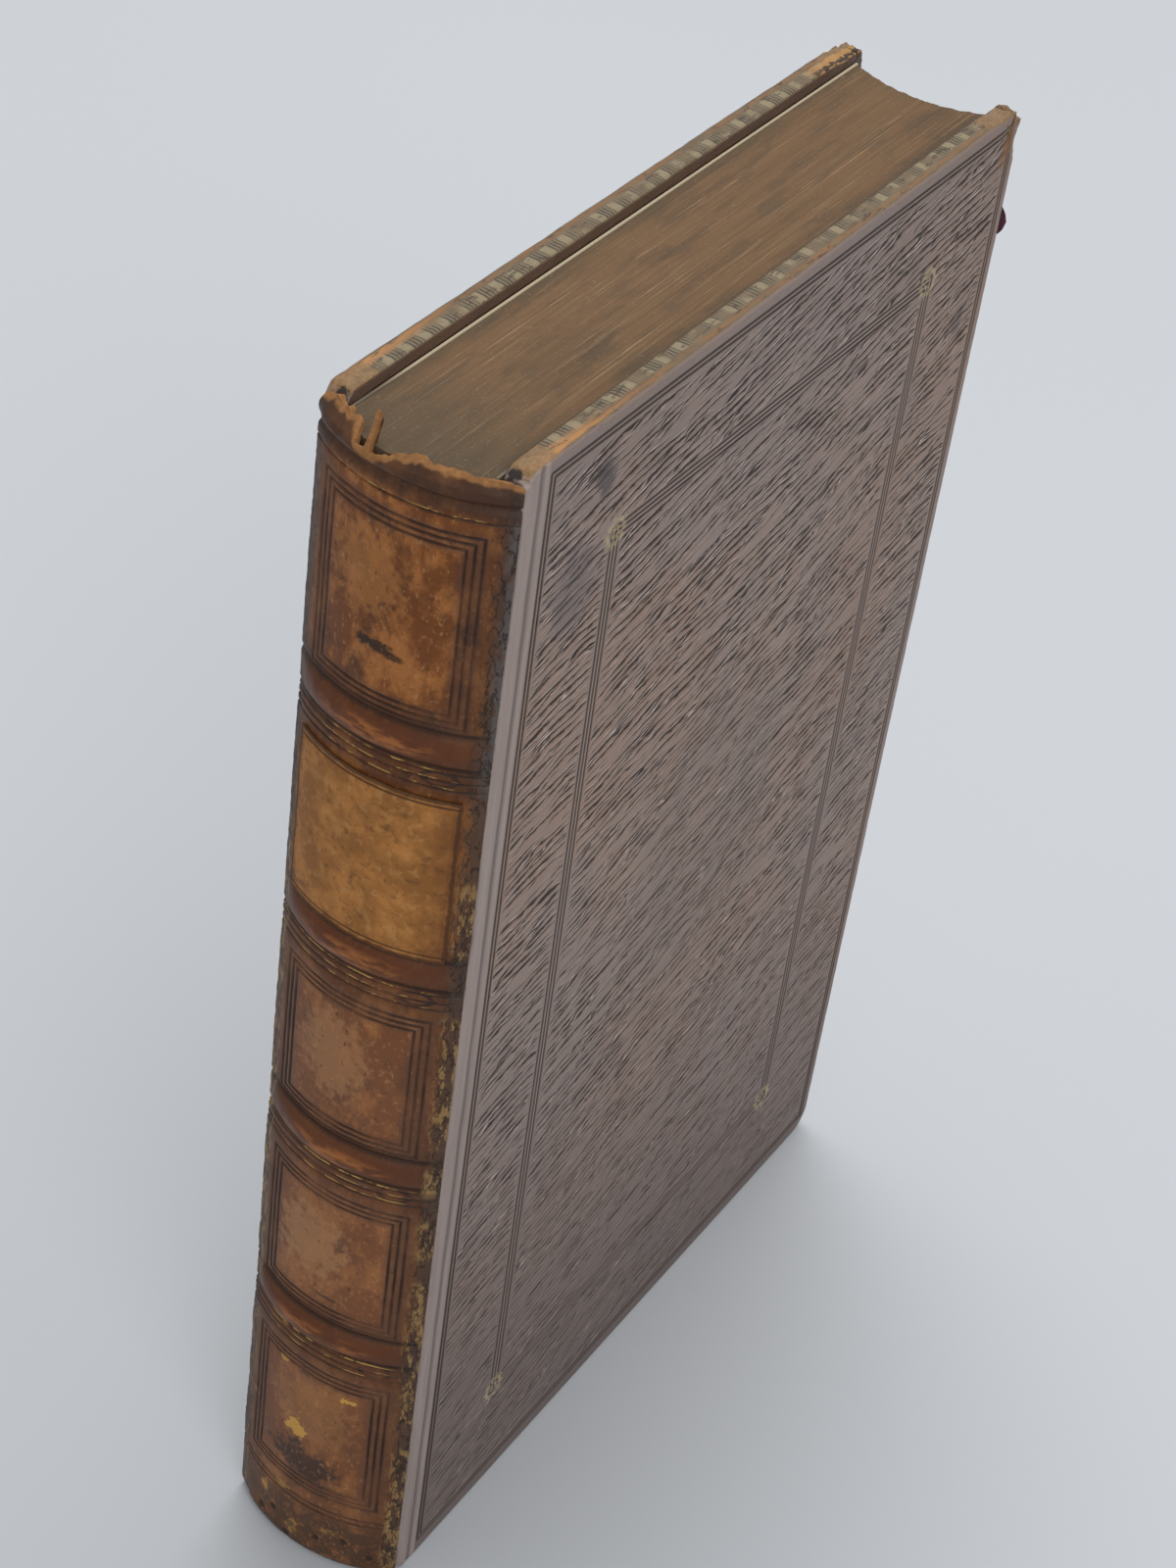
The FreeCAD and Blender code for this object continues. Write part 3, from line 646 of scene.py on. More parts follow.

# %% [markdown]
# ## Straight-grained leather
#
# This leather was dyed, wetted and boarded in one direction. It is now taupe with a lilac sheen
# where it catches the light, warmer where hands held it, with painted shade in its creases and a
# painted highlight on their ridges. A picture could be projected on it, but it would not suit the
# rear cover. So each mark is a mask at its own place.

# %% Marks that both covers share
def spot(finish, across, up, centre, radii, ragged=0.0, fade=(0.55, 1.1)):
    """1 at a centre in millimetres, fading to 0 about the radii."""
    wide = (across - centre[0]) / radii[0]
    tall = (up - centre[1]) / radii[1]
    away = (wide * wide + tall * tall) ** 0.5
    return 1 - finish.rise(away + ragged, *fade)


def rosette(finish, across, up):
    """A small gilt flower on each corner of the panel: two rings and short rays."""
    wide = abs(across - panel.middle[0]) - ROSETTE[0]
    tall = abs(up - panel.middle[1]) - ROSETTE[1]
    away = (wide * wide + tall * tall) ** 0.5
    angle = tall.sum("ARCTAN2", wide)
    rays = finish.rise((angle * 10).sum("COSINE"), -0.3, 0.4)
    fringe = finish.line(away - 2.65, 0.55) * rays
    return finish.line(away - 2.05, 0.72) + finish.line(away - 0.85, 0.42) + fringe * 0.7


print("rosettes", np.round(ROSETTE, 1), "from the middle of the panel")

# %% The gilt roll on the edges of the boards
ROLL_PITCH = 4.35
# Where each bar stands in a pitch, how wide it is and how soft
ROLL_BARS = ((0.47, 0.09, 0.03), (0.64, 0.09, 0.03), (0.81, 0.09, 0.03), (0.98, 0.05, 0.02))


def edge_roll(finish, along, depth):
    """Gold blocks and dark bars across the inner half of a board's edge, and their band."""
    turn = (along * (1 / ROLL_PITCH)).sum("FRACT")
    block = finish.line(turn - 0.22, 0.36, soft=0.06)
    bars = sum(finish.line(turn - place, width, soft=soft) for place, width, soft in ROLL_BARS)
    ragged = finish.grain((2.5, 2.5, 2.5), detail=3, shift=4) - 0.5
    band = finish.line(depth - 2.9 + ragged, 2.1, soft=0.2)
    return block * band, bars * band, band


print("the roll repeats", round(HEIGHT / ROLL_PITCH), "times along the fore edge")

# %% Creases as signals
# The painted highlight lies this share of a pitch above the bottom of its crease, on the lit ridge
HIGHLIGHT_RISE = 0.27


def grain_creases(finish):
    """The painted shade in each crease, the painted highlight on the ridge above it, and the skin's
    height.
    """
    cut, crest_highlight, height = 0, 0, 1
    waver = (finish.grain((2.4, 2.4, 1.1), detail=3, shift=3) - 0.5) * 0.6
    for name in CREASES:
        turn = finish.attribute(f"{name}_turn") + waver
        depth = finish.attribute(f"{name}_depth")
        away = abs((turn + 0.5).sum("FRACT") - 0.5)
        # Painted shade: the bottom of each crease is coloured nearly black
        bottom = 1 - finish.rise(away, depth * 0.07, depth * 0.25 + 0.03)
        cut = larger(bottom * finish.rise(depth, 0.05, 0.35), cut)
        # Painted highlight: a pale line on the ridge above each crease, where the light catches it
        above = finish.line((turn + 0.5 - HIGHLIGHT_RISE).sum("FRACT") - 0.5, 0.16, soft=0.07)
        crest_highlight = larger(above * depth, crest_highlight)
        height = height - (1 - finish.rise(away, 0.0, 0.4)) * depth
    return cut, crest_highlight, height


def fine_wrinkles(finish, length, width):
    """Noise that is stretched along the grain, from 0 to 1."""
    row = finish.attribute("long_turn") * (1 / width)
    place = finish.node("ShaderNodeCombineXYZ", inputs={0: finish.x * (1 / length), 1: row})
    return finish.noise(place, 4, 0.6)


print("creases:", ", ".join(CREASES))

# %% The leather of a cover
def straight_grained(name, side, marks):
    finish = Finish(name, roughness=0.5, Specular_IOR_Level=0.4)
    across, up = finish.x, finish.z
    depth = HALF - finish.y * side
    from_joint = across - JOINT
    cool = finish.blotches((38, 38, 50), 0.38, 0.62, detail=4, shift=side * 3)
    warm = finish.blotches((22, 22, 30), 0.48, 0.68, detail=5, shift=side * 7)
    foot = 1 - finish.rise(up + across * 0.25, 0, 125)
    cut, crest_highlight, height = grain_creases(finish)
    wrinkles = fine_wrinkles(finish, 2.6, 0.4)
    skin = finish.coats(
        (0.252, 0.171, 0.134),
        (cool, (0.238, 0.178, 0.153)),
        (warm * 0.35, (0.32, 0.208, 0.155)),
        (foot * 0.85, (0.118, 0.09, 0.082)),
        (finish.rise(up, 175, 225) * 0.35, (0.165, 0.125, 0.115)),
        (finish.rise(wrinkles, 0.5, 0.72) * 0.3, (0.11, 0.08, 0.068)),
        # Painted highlight on the ridge above each crease
        (crest_highlight * (wrinkles * 1.4 + 0.35), (0.7, 0.56, 0.5)),
        # Painted shade in the bottom of each crease
        (cut * 0.97, (0.016, 0.009, 0.007)),
    )
    skin = paint_strip(finish, skin, from_joint)
    # Painted highlight: the ridges between the panel's pressed lines are made paler
    between = finish.line(panel.outside(across, up) + LINE_PITCH, 2 * LINE_PITCH + 0.5, soft=0.2)
    lines = border.mark(finish, across, up, 0.46) + panel.mark(finish, across, up, 0.46)
    skin = finish.coats(
        skin, (between * 0.4, (0.33, 0.262, 0.235)), (lines * 0.88, (0.036, 0.025, 0.021))
    )
    for centre, radii, share, tone in marks:
        rough = finish.grain((2.5, 2.5, 2.5), detail=4, shift=centre[0]) - 0.5
        stain = spot(finish, from_joint, up, centre, radii, rough * 1.3)
        skin = finish.mix(stain * share, skin, tone)
    gilt = rosette(finish, across, up) * finish.blotches((0.8, 0.8, 0.8), 0.22, 0.42, shift=9)
    gilt = gilt * (1 - finish.rise(depth, 0.8, 1.2))
    skin = finish.mix(gilt * 0.85, skin, (0.42, 0.335, 0.205))
    relief = height * 0.6 + crest_highlight * 0.3 + wrinkles * 0.3 - cut * 0.5 - lines * 0.7 - gilt * 0.3
    return paint_cover_edges(finish, skin, depth, gilt, relief, side)


# %% The strip along the joint, and the edges of the board
def paint_strip(finish, skin, from_joint):
    """The smooth strip along the joint: paler, streaked, with painted shade in its hollow and dirty
    at its edge.
    """
    streaks = finish.grain((1.1, 1.1, 17), detail=5, shift=1)
    crumbs = finish.grain((1.5, 1.5, 3), detail=4)
    strip = 1 - finish.rise(from_joint, 5.7, 6.2)
    dirty = 1 - finish.rise(from_joint + streaks * 1.2 + crumbs * 1.4, 1.3, 2.3)
    return finish.coats(
        skin,
        (strip * 0.85, finish.mix(streaks, (0.195, 0.15, 0.134), (0.39, 0.31, 0.278))),
        # Painted shade in the hollow beside the strip
        (finish.line(from_joint - STRIP_HOLLOW, 0.9, soft=0.4) * 0.72, (0.09, 0.066, 0.06)),
        (dirty * 0.85, (0.085, 0.055, 0.042)),
    )


def paint_cover_edges(finish, skin, depth, gilt, relief, side):
    """The edges of the board: rubbed olive leather with the roll, and a worn orange rim."""
    across, up = finish.x, finish.z
    head_edge = finish.rise(up, HEIGHT - 0.85, HEIGHT - 0.5)
    tail_edge = 1 - finish.rise(up, 0.45, 0.75)
    fore_edge = finish.rise(across, FORE_EDGE - 0.85, FORE_EDGE - 0.5)
    level = larger(head_edge, tail_edge)
    edge = larger(level, fore_edge) * finish.rise(depth, 0.25, 0.7)
    gold, bars, band = edge_roll(finish, across * level + up * (1 - level), depth)
    kept = finish.blotches((4, 4, 4), 0.34, 0.56, detail=5, shift=side * 5)
    frayed = finish.grain((6, 1.4, 6), detail=6, roughness=0.65)
    by_joint = 1 - finish.rise(across, JOINT + 5, JOINT + 34)
    raw = finish.line(depth - 1.15 + (frayed - 0.5) * 1.6, 0.5, soft=0.3)
    raw = raw * finish.rise(frayed, 0.36, 0.5)
    raw = raw + by_joint * finish.line(depth - 1.5 + (frayed - 0.5) * 2.6, 1.3, soft=0.5)
    crack = finish.blotches((2.6, 0.7, 2.6), 0.58, 0.64, detail=6, shift=2)
    worn = finish.coats(
        (0.055, 0.034, 0.018),
        (finish.grain((4, 1.2, 4), detail=6), (0.215, 0.15, 0.08)),
        (band * kept * 0.5, (0.225, 0.18, 0.108)),
        (gold * kept * 0.55, (0.27, 0.218, 0.128)),
        (bars * kept * 0.9, (0.036, 0.025, 0.016)),
        (raw * 0.8, finish.mix(by_joint, (0.225, 0.096, 0.03), (0.38, 0.18, 0.055))),
        (crack * 0.7, (0.04, 0.024, 0.014)),
    )
    by_hinge = (1 - finish.rise(across, JOINT + 0.8, JOINT + 1.2)) * finish.rise(depth, 0.7, 1.4)
    skin = finish.coats(skin, (edge, worn), (by_hinge * 0.9, (0.055, 0.027, 0.013)))
    skin = paint_worn_corners(finish, skin, depth, side)
    cloudy = finish.grain((9, 9, 9), detail=5)
    turn_in = finish.mix(cloudy, (0.05, 0.025, 0.014), (0.115, 0.06, 0.032))
    skin = finish.mix(finish.rise(depth, 3.9, 4.1), skin, turn_in)
    pits = finish.grain((0.9, 0.9, 0.35), detail=5, roughness=0.65)
    normal = finish.bump(relief + pits * 0.35, 0.95, 0.34)
    rough = 0.43 + 0.2 * finish.grain((1.2, 1.2, 0.5), detail=3) + 0.15 * edge - 0.1 * gilt
    return finish.paint(Base_Color=skin, Roughness=rough, Metallic=gilt * 0.3, Normal=normal)


# %% Worn corners
def paint_worn_corners(finish, skin, depth, side):
    """Tan, frayed leather at the head of the joint and of the fore edge, with dark cracks."""
    across, up = finish.x, finish.z
    ragged = finish.grain((2.4, 2.4, 2.4), detail=5, shift=side * 2)
    torn = finish.grain((1.1, 1.1, 1.1), detail=4, shift=side * 3) - 0.5
    from_head = HEIGHT - up
    from_edge = FORE_EDGE - across
    off_face = finish.rise(depth, 0.25, 0.8)
    reach = larger(from_edge, from_head * 1.2) + (1 - off_face) * 1.6
    fore_corner = larger(
        1 - finish.rise(reach + ragged * 7, 7.4, 9.2),
        (1 - finish.rise(from_edge + from_head + torn * 4, 10, 12)) * off_face,
    )
    reach = larger(across - JOINT - 6.0, from_head * 1.6) + ragged * 4
    joint_corner = (1 - finish.rise(reach, 3, 5)) * off_face
    hairy = finish.grain((0.8, 0.6, 1.6), detail=6)
    fibres = finish.mix(hairy, (0.06, 0.03, 0.012), (0.36, 0.205, 0.085))
    # Painted shade: a near-black ragged spot stands for the dark inside of a torn opening by the
    # joint
    hole_shade = spot(finish, across - JOINT, depth, (1.4, 2.7), (1.0, 1.2), torn * 2.6)
    hole_shade = hole_shade * finish.rise(up, HEIGHT - 4.0, HEIGHT - 2.5)
    leaning = from_edge - from_head * 0.35
    streak = spot(finish, leaning, from_head, (1.6, 6.5), (2.2, 4.5), torn * 2.2)
    skin = finish.coats(
        skin,
        (larger(fore_corner * 0.85, joint_corner * 0.9), fibres),
        (hole_shade * 0.95, (0.012, 0.007, 0.005)),
        (streak * 0.75, (0.22, 0.105, 0.045)),
    )
    if side == REAR:
        split = 1 - finish.rise(from_edge + ragged * 14, 20, 25)
        flesh = split * finish.rise(depth + torn * 2.0, 1.7, 2.1)
        # Painted shade under the split leather
        gap_shade = split * finish.line(depth - 3.5 + torn * 2.2, 0.8, soft=0.2)
        skin = finish.coats(
            skin,
            (flesh * 0.85, finish.mix(ragged, (0.23, 0.105, 0.028), (0.56, 0.3, 0.09))),
            (gap_shade * 0.95, (0.02, 0.012, 0.008)),
        )
    from_crack = from_edge - CRACK_PLACE - CRACK_LEAN * from_head
    crack = finish.line(from_crack + (ragged - 0.5) * 1.5, 0.5, soft=0.2)
    return finish.mix(crack * fore_corner * 0.9, skin, (0.018, 0.011, 0.008))


# %% The marks of each cover, and its finish
# Place from the joint and height, radii, share and colour
FRONT_MARKS = [
    ((21.3, 214.6), (3.0, 3.4), 0.75, (0.050, 0.042, 0.045)),
    ((16.5, 199.0), (6.5, 9.0), 0.45, (0.090, 0.080, 0.088)),
    ((70.0, 120.0), (26.0, 34.0), 0.30, (0.185, 0.140, 0.115)),
    ((46.0, 77.0), (2.6, 1.0), 0.6, (0.060, 0.050, 0.048)),
    ((83.0, 52.0), (3.6, 1.0), 0.6, (0.060, 0.050, 0.048)),
    ((131.0, 190.0), (2.6, 3.0), 0.5, (0.070, 0.055, 0.050)),
    ((104.0, 110.0), (1.6, 0.5), 0.8, (0.045, 0.034, 0.030)),
    ((87.0, 105.0), (1.4, 0.5), 0.7, (0.045, 0.034, 0.030)),
]
REAR_MARKS = [
    ((60.0, 60.0), (12.0, 16.0), 0.35, (0.085, 0.070, 0.070)),
    ((98.0, 150.0), (20.0, 26.0), 0.30, (0.185, 0.140, 0.115)),
    ((30.0, 178.0), (3.0, 5.0), 0.5, (0.065, 0.052, 0.050)),
]
for name, marks in (("front", FRONT_MARKS), ("rear", REAR_MARKS)):
    leather = straight_grained(f"straight_grain_{name}", SIDES[name], marks)
    body = f"{name}_cover"
    finish_piece(covers[name], body, "grained_leather", leather, f"{body}_leather")

# %% [markdown]
# ## The spine
#
# The calf on the back is drawn tight over four cords, so it rises in bands and sinks to flat
# panels between them. It could be spun from a profile, but the bands die away towards the
# joints. So a grid is bent round the back and each vertex is pushed out by what lies under it.
# The head is torn: its last rows end at an uneven height, and a solidified sheet shows its edge.

# %% Frames and lines on the back
PANEL_HALF = 12.7
TAIL_FRAME = 16.6
HEAD_FRAME = 215.0
ABOVE_BAND = 3.8
BELOW_BAND = 9.3
PALLETS = (3.9, 5.3, 6.7)

PANEL_SPANS = [
    (TAIL_FRAME, BANDS[0] - BELOW_BAND),
    (BANDS[0] + ABOVE_BAND, BANDS[1] - BELOW_BAND),
    (BANDS[1] + ABOVE_BAND, BANDS[2] - BELOW_BAND),
    (BANDS[3] + ABOVE_BAND, HEAD_FRAME),
]
FRAME_PITCH = 1.05
spine_frames = [
    ToolFrame(-PANEL_HALF, PANEL_HALF, low, high, 3, pitch=FRAME_PITCH) for low, high in PANEL_SPANS
]
pallet_lines = [band - step for band in BANDS for step in PALLETS]
END_LINES = [12.2, 13.4, 217.5]
print("panels", [(round(low, 1), round(high, 1)) for low, high in PANEL_SPANS])

# %% What pushes the calf out or in
# Places across the back, and the height at which the torn calf ends there
TORN_HEAD = [
    (-16.5, 223.3), (-14.6, 223.9), (-12.0, 224.0), (-9.6, 224.2), (-6.8, 223.9), (-4.4, 224.1),
    (-2.0, 224.3), (0.4, 223.6), (2.2, 222.9), (3.6, 222.2), (5.6, 222.2), (7.0, 222.6),
    (8.6, 224.1), (11.2, 224.5), (13.0, 224.3), (14.4, 224.6), (16.5, 223.6),
]
BAND_FOOT = BAND_WIDTH / 2 + 0.25
SLIVER_PLACE = 4.9
# Wormholes and rubbed pits near the tail: place across, height and radius
TAIL_PITS = [
    (9.2, 3.2, 1.1), (6.3, 5.6, 0.8), (2.9, 1.9, 0.9), (-3.1, 5.1, 0.8),
    (14.2, 1.6, 1.0), (-8.0, 6.6, 0.8), (-12.4, 4.0, 0.7),
]


def crown(y, radius):
    """How far a place lies in from the crown of an arc across the back."""
    return radius - np.sqrt(radius**2 - y**2)


def band_rise(y, up):
    """How far the raised bands lift the calf: full in the middle, nothing at the joints."""
    band_half = HALF - BAND_END
    sag = BAND_HEIGHT + crown(band_half, BACK_RADIUS)
    held = np.minimum(np.abs(y), band_half)
    lift = BAND_HEIGHT + crown(held, BACK_RADIUS) - crown(held, (band_half**2 + sag**2) / (2 * sag))
    shape = sum(np.clip(1 - np.abs((up - band) / BAND_FOOT) ** 2.4, 0, 1) for band in BANDS)
    return np.clip(lift, 0, BAND_HEIGHT) * shape


def bend_round(places, y, up, out):
    """Lays places on the arc of the back, each pushed out by its own distance."""
    arc = BACK_RADIUS - crown(y, BACK_RADIUS)
    share = 1 + out / BACK_RADIUS
    places[:, 0] = BACK_CENTRE - arc * share
    places[:, 1] = y * share
    places[:, 2] = up


print("bands rise", np.round(band_rise(np.zeros(4), np.array(BANDS)), 2), "mm")

# %% Pressed lines, wear and the torn head
# Heights of the dark fold, the roll over it and the lip that leans over the pages
FOLD_PLACE = 219.9
ROLL_START = 220.3
ROLL_TALL = 2.6
ROLL_HALF = 15.8
LIP_START = 222.3


def press_spine(y, up):
    """The pressed lines of the panels and pallets, kept off what the label hides."""
    frames = sum(tool.groove(y, up) for tool in spine_frames)
    level = pallet_lines + END_LINES
    straight = sum(np.clip(1 - np.abs(up - line) / LINE_HALF, 0, 1) for line in level)
    bare = (up > label_low[2] - 0.3) & (up < label_high[2] + 0.3)
    return np.clip(frames + straight, 0, 1) * ~bare


def wear_spine(y, up):
    """How far wear, damp and the rubbed tail move the calf in, and its folds out."""
    flat = flat_places(y, up)
    folds = 0.14 * waves(flat, (9, 16, 1), 4) + 0.06 * waves(flat, (1.8, 2.6, 1), 5) - 0.16
    near_label = (up > label_low[2] - 1) & (up < label_high[2] + 1)
    folds = np.where(near_label, -0.16, folds)
    feet = sum(np.exp(-(((np.abs(up - band) - BAND_FOOT - 0.15) / 0.35) ** 2)) for band in BANDS)
    pits = sum(
        np.exp(-((y - place) ** 2 + (up - height) ** 2) / radius**2)
        for place, height, radius in TAIL_PITS
    )
    at_joint = np.clip((np.abs(y) - 14.4) / 1.6, 0, 1)
    cracked = np.abs(waves(flat, (1.2, 1.7, 1), 6))
    worn = np.abs(waves(flat, (2.5, 14, 1), 7))
    rough = at_joint * (0.16 * cracked + 0.3 * worn)
    tail = 0.9 * np.clip((2.2 - up) / 2.2, 0, 1) ** 2
    return folds - 0.22 * feet * ~near_label - 0.5 * pits - rough - tail


def roll_head(y, up):
    """The cap at the head: a fold, a thick roll over it and a lip that leans over the pages."""
    flat = flat_places(y, up)
    uneven = 1 + 0.7 * waves(flat, (5, 9, 1), 8) + 0.4 * waves(flat, (1.7, 3, 1), 9)
    sway = 0.4 * waves(flat, (6, 50, 1), 10)
    fold = 0.6 * np.exp(-(((up - FOLD_PLACE + sway) / 0.7) ** 2))
    roll = 0.5 * np.sin(np.clip((up - ROLL_START) / ROLL_TALL, 0, 1) * math.pi)
    roll = roll * np.clip((ROLL_HALF - np.abs(y)) / 2, 0, 1)
    lean = 1.5 * np.clip((up - LIP_START) / 1.9, 0, 1) ** 1.4
    return (roll - lean) * uneven - fold


print("the torn head ends", min(TORN_HEAD, key=lambda place: place[1])[1], "mm up or higher")

# %% The skin of the back
SPINE_PRESSED = 0.24
CAP_START = 219
CAP_ROWS = np.linspace(CAP_START + 0.2, 224.1, 15)


def spine_skin():
    frame_lines = [line for tool in spine_frames for line in tool.level_lines()]
    band_feet = [band + side * BAND_FOOT for band in BANDS for side in (-1.05, 1.05)]
    rows = tooled_places(
        0.5, HEIGHT - 0.6, 0.62, pallet_lines + END_LINES + frame_lines, [*CAP_ROWS, *band_feet]
    )
    columns = tooled_places(-HALF + 0.05, HALF - 0.05, 0.5, spine_frames[0].upright_lines())
    skin = lay_grid("spine_skin", columns, rows)
    places = points_of(skin)
    y, up = places[:, 0].copy(), places[:, 2].copy()
    flat = flat_places(y, np.zeros_like(y))
    torn = np.interp(y, *zip(*TORN_HEAD)) + 0.35 * waves(flat, (0.9, 1, 1), 3)
    stretch = np.clip((up - CAP_START) / (up.max() - CAP_START), 0, 1)
    up = up + stretch * (torn - up.max())
    lift = band_rise(y, up)
    out = wear_spine(y, up) + roll_head(y, up) + lift - SPINE_PRESSED * press_spine(y, up)
    bend_round(places, y, up, out)
    move_points(skin, places)
    store(skin, "band", lift / BAND_HEIGHT)
    by_sliver = np.exp(-(((y - SLIVER_PLACE) / 2.2) ** 2))
    raw = 1.4 + 1.2 * by_sliver + 0.5 * waves(flat, (3.5, 1, 1), 13)
    store(skin, "torn", np.clip((up - torn + raw) / raw, 0, 1))
    return skin


def apply_modifier(piece, kind, **settings):
    activate(piece)
    modifier = piece.modifiers.new(kind.lower(), kind)
    for name, value in settings.items():
        setattr(modifier, name, value)
    bpy.ops.object.modifier_apply(modifier=modifier.name)


def thicken(skin, thickness, inward):
    """Gives a sheet its thickness on the side that its inward direction names."""
    activate(skin)
    bpy.ops.object.mode_set(mode="EDIT")
    bpy.ops.mesh.select_all(action="SELECT")
    bpy.ops.mesh.normals_make_consistent(inside=False)
    bpy.ops.object.mode_set(mode="OBJECT")
    normal = skin.data.polygons[len(skin.data.polygons) // 2].normal
    if normal.dot(Vector(inward)) > 0:
        skin.data.flip_normals()
    apply_modifier(skin, "SOLIDIFY", thickness=thickness * MM, offset=-1)


spine = spine_skin()
thicken(spine, LEATHER, (1, 0, 0))
print("spine skin", len(spine.data.vertices), "vertices")

# %% The sliver that stands up from the torn edge
# Each pull moves the end of the sliver by x, y and z and resizes it
SLIVER_PULLS = [
    (0.5, 0.0, 1.2, 0.75), (0.6, 0.0, 1.2, 0.95), (0.6, 0.05, 1.1, 0.9),
    (0.5, 0.1, 0.9, 1.15), (0.1, 0.0, 0.4, 0.7),
]
SLIVER_HALF = 0.55


def pull_sliver(skin):
    """Draws a narrow part of the torn rim up in a few pulls."""
    activate(skin)
    bpy.ops.object.mode_set(mode="EDIT")
    bpy.ops.mesh.select_mode(type="FACE")
    bpy.ops.mesh.select_all(action="DESELECT")
    bpy.ops.object.mode_set(mode="OBJECT")
    rim = [
        face for face in skin.data.polygons
        if face.normal.z > 0.45 and face.center.z > 221.0 * MM
        and abs(face.center.y / MM - SLIVER_PLACE) < SLIVER_HALF
    ]
    middle = sum((face.center for face in rim), Vector()) / len(rim)
    for face in rim:
        face.select = True
    bpy.ops.object.mode_set(mode="EDIT")
    for *pull, size in SLIVER_PULLS:
        move = Vector(pull) * MM
        bpy.ops.mesh.extrude_region_move(TRANSFORM_OT_translate={"value": move})
        middle = middle + move
        bpy.ops.transform.resize(value=(size, size, 1), center_override=middle)
    bpy.ops.object.mode_set(mode="OBJECT")
    return len(rim), middle / MM


print("sliver from faces", pull_sliver(spine))

# %% [markdown]
# ## Smooth calf
#
# Calf has no grain to speak of. Its age shows in colour: polished red-brown on the bands, tan
# clouds on the panels, blots, yellow scuffs where the surface flaked, and holes near the tail.
# The gilding of the pallets is nearly gone, so the gold is a line broken by noise.

# %% The calf and its spots
YELLOW = (0.50, 0.27, 0.055)
BLOT = (0.020, 0.009, 0.006)
# Place across the back and height, radii, share and colour
SPINE_SPOTS = [
    ((1.2, 193.2), (3.6, 1.1), 0.9, BLOT),
    ((-1.8, 192.4), (2.2, 0.7), 0.8, BLOT),
    ((-12.0, 199.6), (1.4, 2.0), 0.85, BLOT),
    ((-11.2, 196.4), (0.9, 1.6), 0.6, BLOT),
    ((3.5, 204.0), (7.0, 7.5), 0.55, (0.330, 0.135, 0.036)),
    ((2.0, 116.5), (7.0, 10.0), 0.6, (0.330, 0.160, 0.070)),
    ((3.0, 75.0), (7.5, 8.5), 0.65, (0.345, 0.172, 0.075)),
    ((0.0, 36.0), (9.0, 9.0), 0.45, (0.300, 0.140, 0.052)),
    ((-1.1, 64.4), (3.2, 0.35), 0.85, (0.040, 0.022, 0.014)),
    ((2.8, 30.4), (1.9, 2.6), 0.95, YELLOW),
    ((-6.7, 42.4), (1.3, 0.8), 0.95, YELLOW),
    ((12.6, 28.7), (0.9, 0.9), 0.9, YELLOW),
    ((6.0, 44.4), (1.1, 0.8), 0.9, YELLOW),
    ((0.5, 22.5), (7.5, 4.6), 0.8, (0.030, 0.020, 0.017)),
    ((4.5, 13.6), (1.8, 0.9), 0.8, YELLOW),
    ((1.8, 4.5), (1.2, 2.2), 0.85, YELLOW),
    ((8.6, 9.6), (1.0, 1.6), 0.8, YELLOW),
    ((-5.2, 8.2), (1.7, 0.8), 0.7, YELLOW),
    ((6.6, 52.2), (1.0, 0.6), 0.8, YELLOW),
    ((12.0, 61.0), (0.7, 0.7), 0.8, YELLOW),
    ((3.2, 95.6), (3.0, 0.9), 0.6, YELLOW),
]
# A small closed loop stands at the front end of each row of pallets
LOOPS = [(-10.2, band - 5.0) for band in BANDS]


def smooth_calf():
    finish = Finish("smooth_calf", roughness=0.42, Specular_IOR_Level=0.2)
    y, up = finish.y, finish.z
    tan = finish.blotches((6, 6, 9), 0.44, 0.62, detail=8, roughness=0.65, shift=1)
    dark = finish.blotches((5, 5, 8), 0.50, 0.68, detail=8, roughness=0.65, shift=4)
    low = 1 - finish.rise(up, 110, 150)
    calf = finish.coats(
        (0.14, 0.043, 0.009),
        (tan * 0.88, (0.33, 0.125, 0.032)),
        (dark * 0.85, (0.055, 0.02, 0.008)),
        (low * 0.45, (0.195, 0.086, 0.044)),
    )
    for centre, radii, share, tone in SPINE_SPOTS:
        rough = finish.grain((1.6, 1.6, 1.6), detail=6, shift=sum(centre)) - 0.5
        ragged, fade = (rough * 3, (0.8, 0.9)) if tone == YELLOW else (rough * 2, (0.55, 1.1))
        calf = finish.mix(spot(finish, y, up, centre, radii, ragged, fade) * share, calf, tone)
    stained = finish.blotches((2.6, 2.6, 2.2), 0.30, 0.54, detail=6, shift=14)
    soiled = (1 - finish.rise(up, 9, 17)) * stained
    flecks = finish.blotches((0.8, 0.8, 1), 0.56, 0.70, detail=4, shift=7)
    specks = finish.blotches((0.9, 0.9, 1.1), 0.62, 0.72, detail=4, shift=11)
    flank = finish.rise(abs(y) + finish.grain((3, 3, 6), detail=5, shift=5) * 5, 10.5, 16)
    calf = finish.coats(
        calf,
        (soiled * 0.82, (0.06, 0.034, 0.021)),
        (flecks * 0.45, (0.4, 0.2, 0.08)),
        (specks * 0.7, (0.05, 0.022, 0.011)),
        (flank * 0.5, (0.07, 0.026, 0.01)),
    )
    calf, gilt, lines = paint_spine_lines(finish, paint_bands(finish, calf))
    calf = paint_joint_edges(finish, calf)
    return paint_torn_head(finish, calf, gilt, lines)


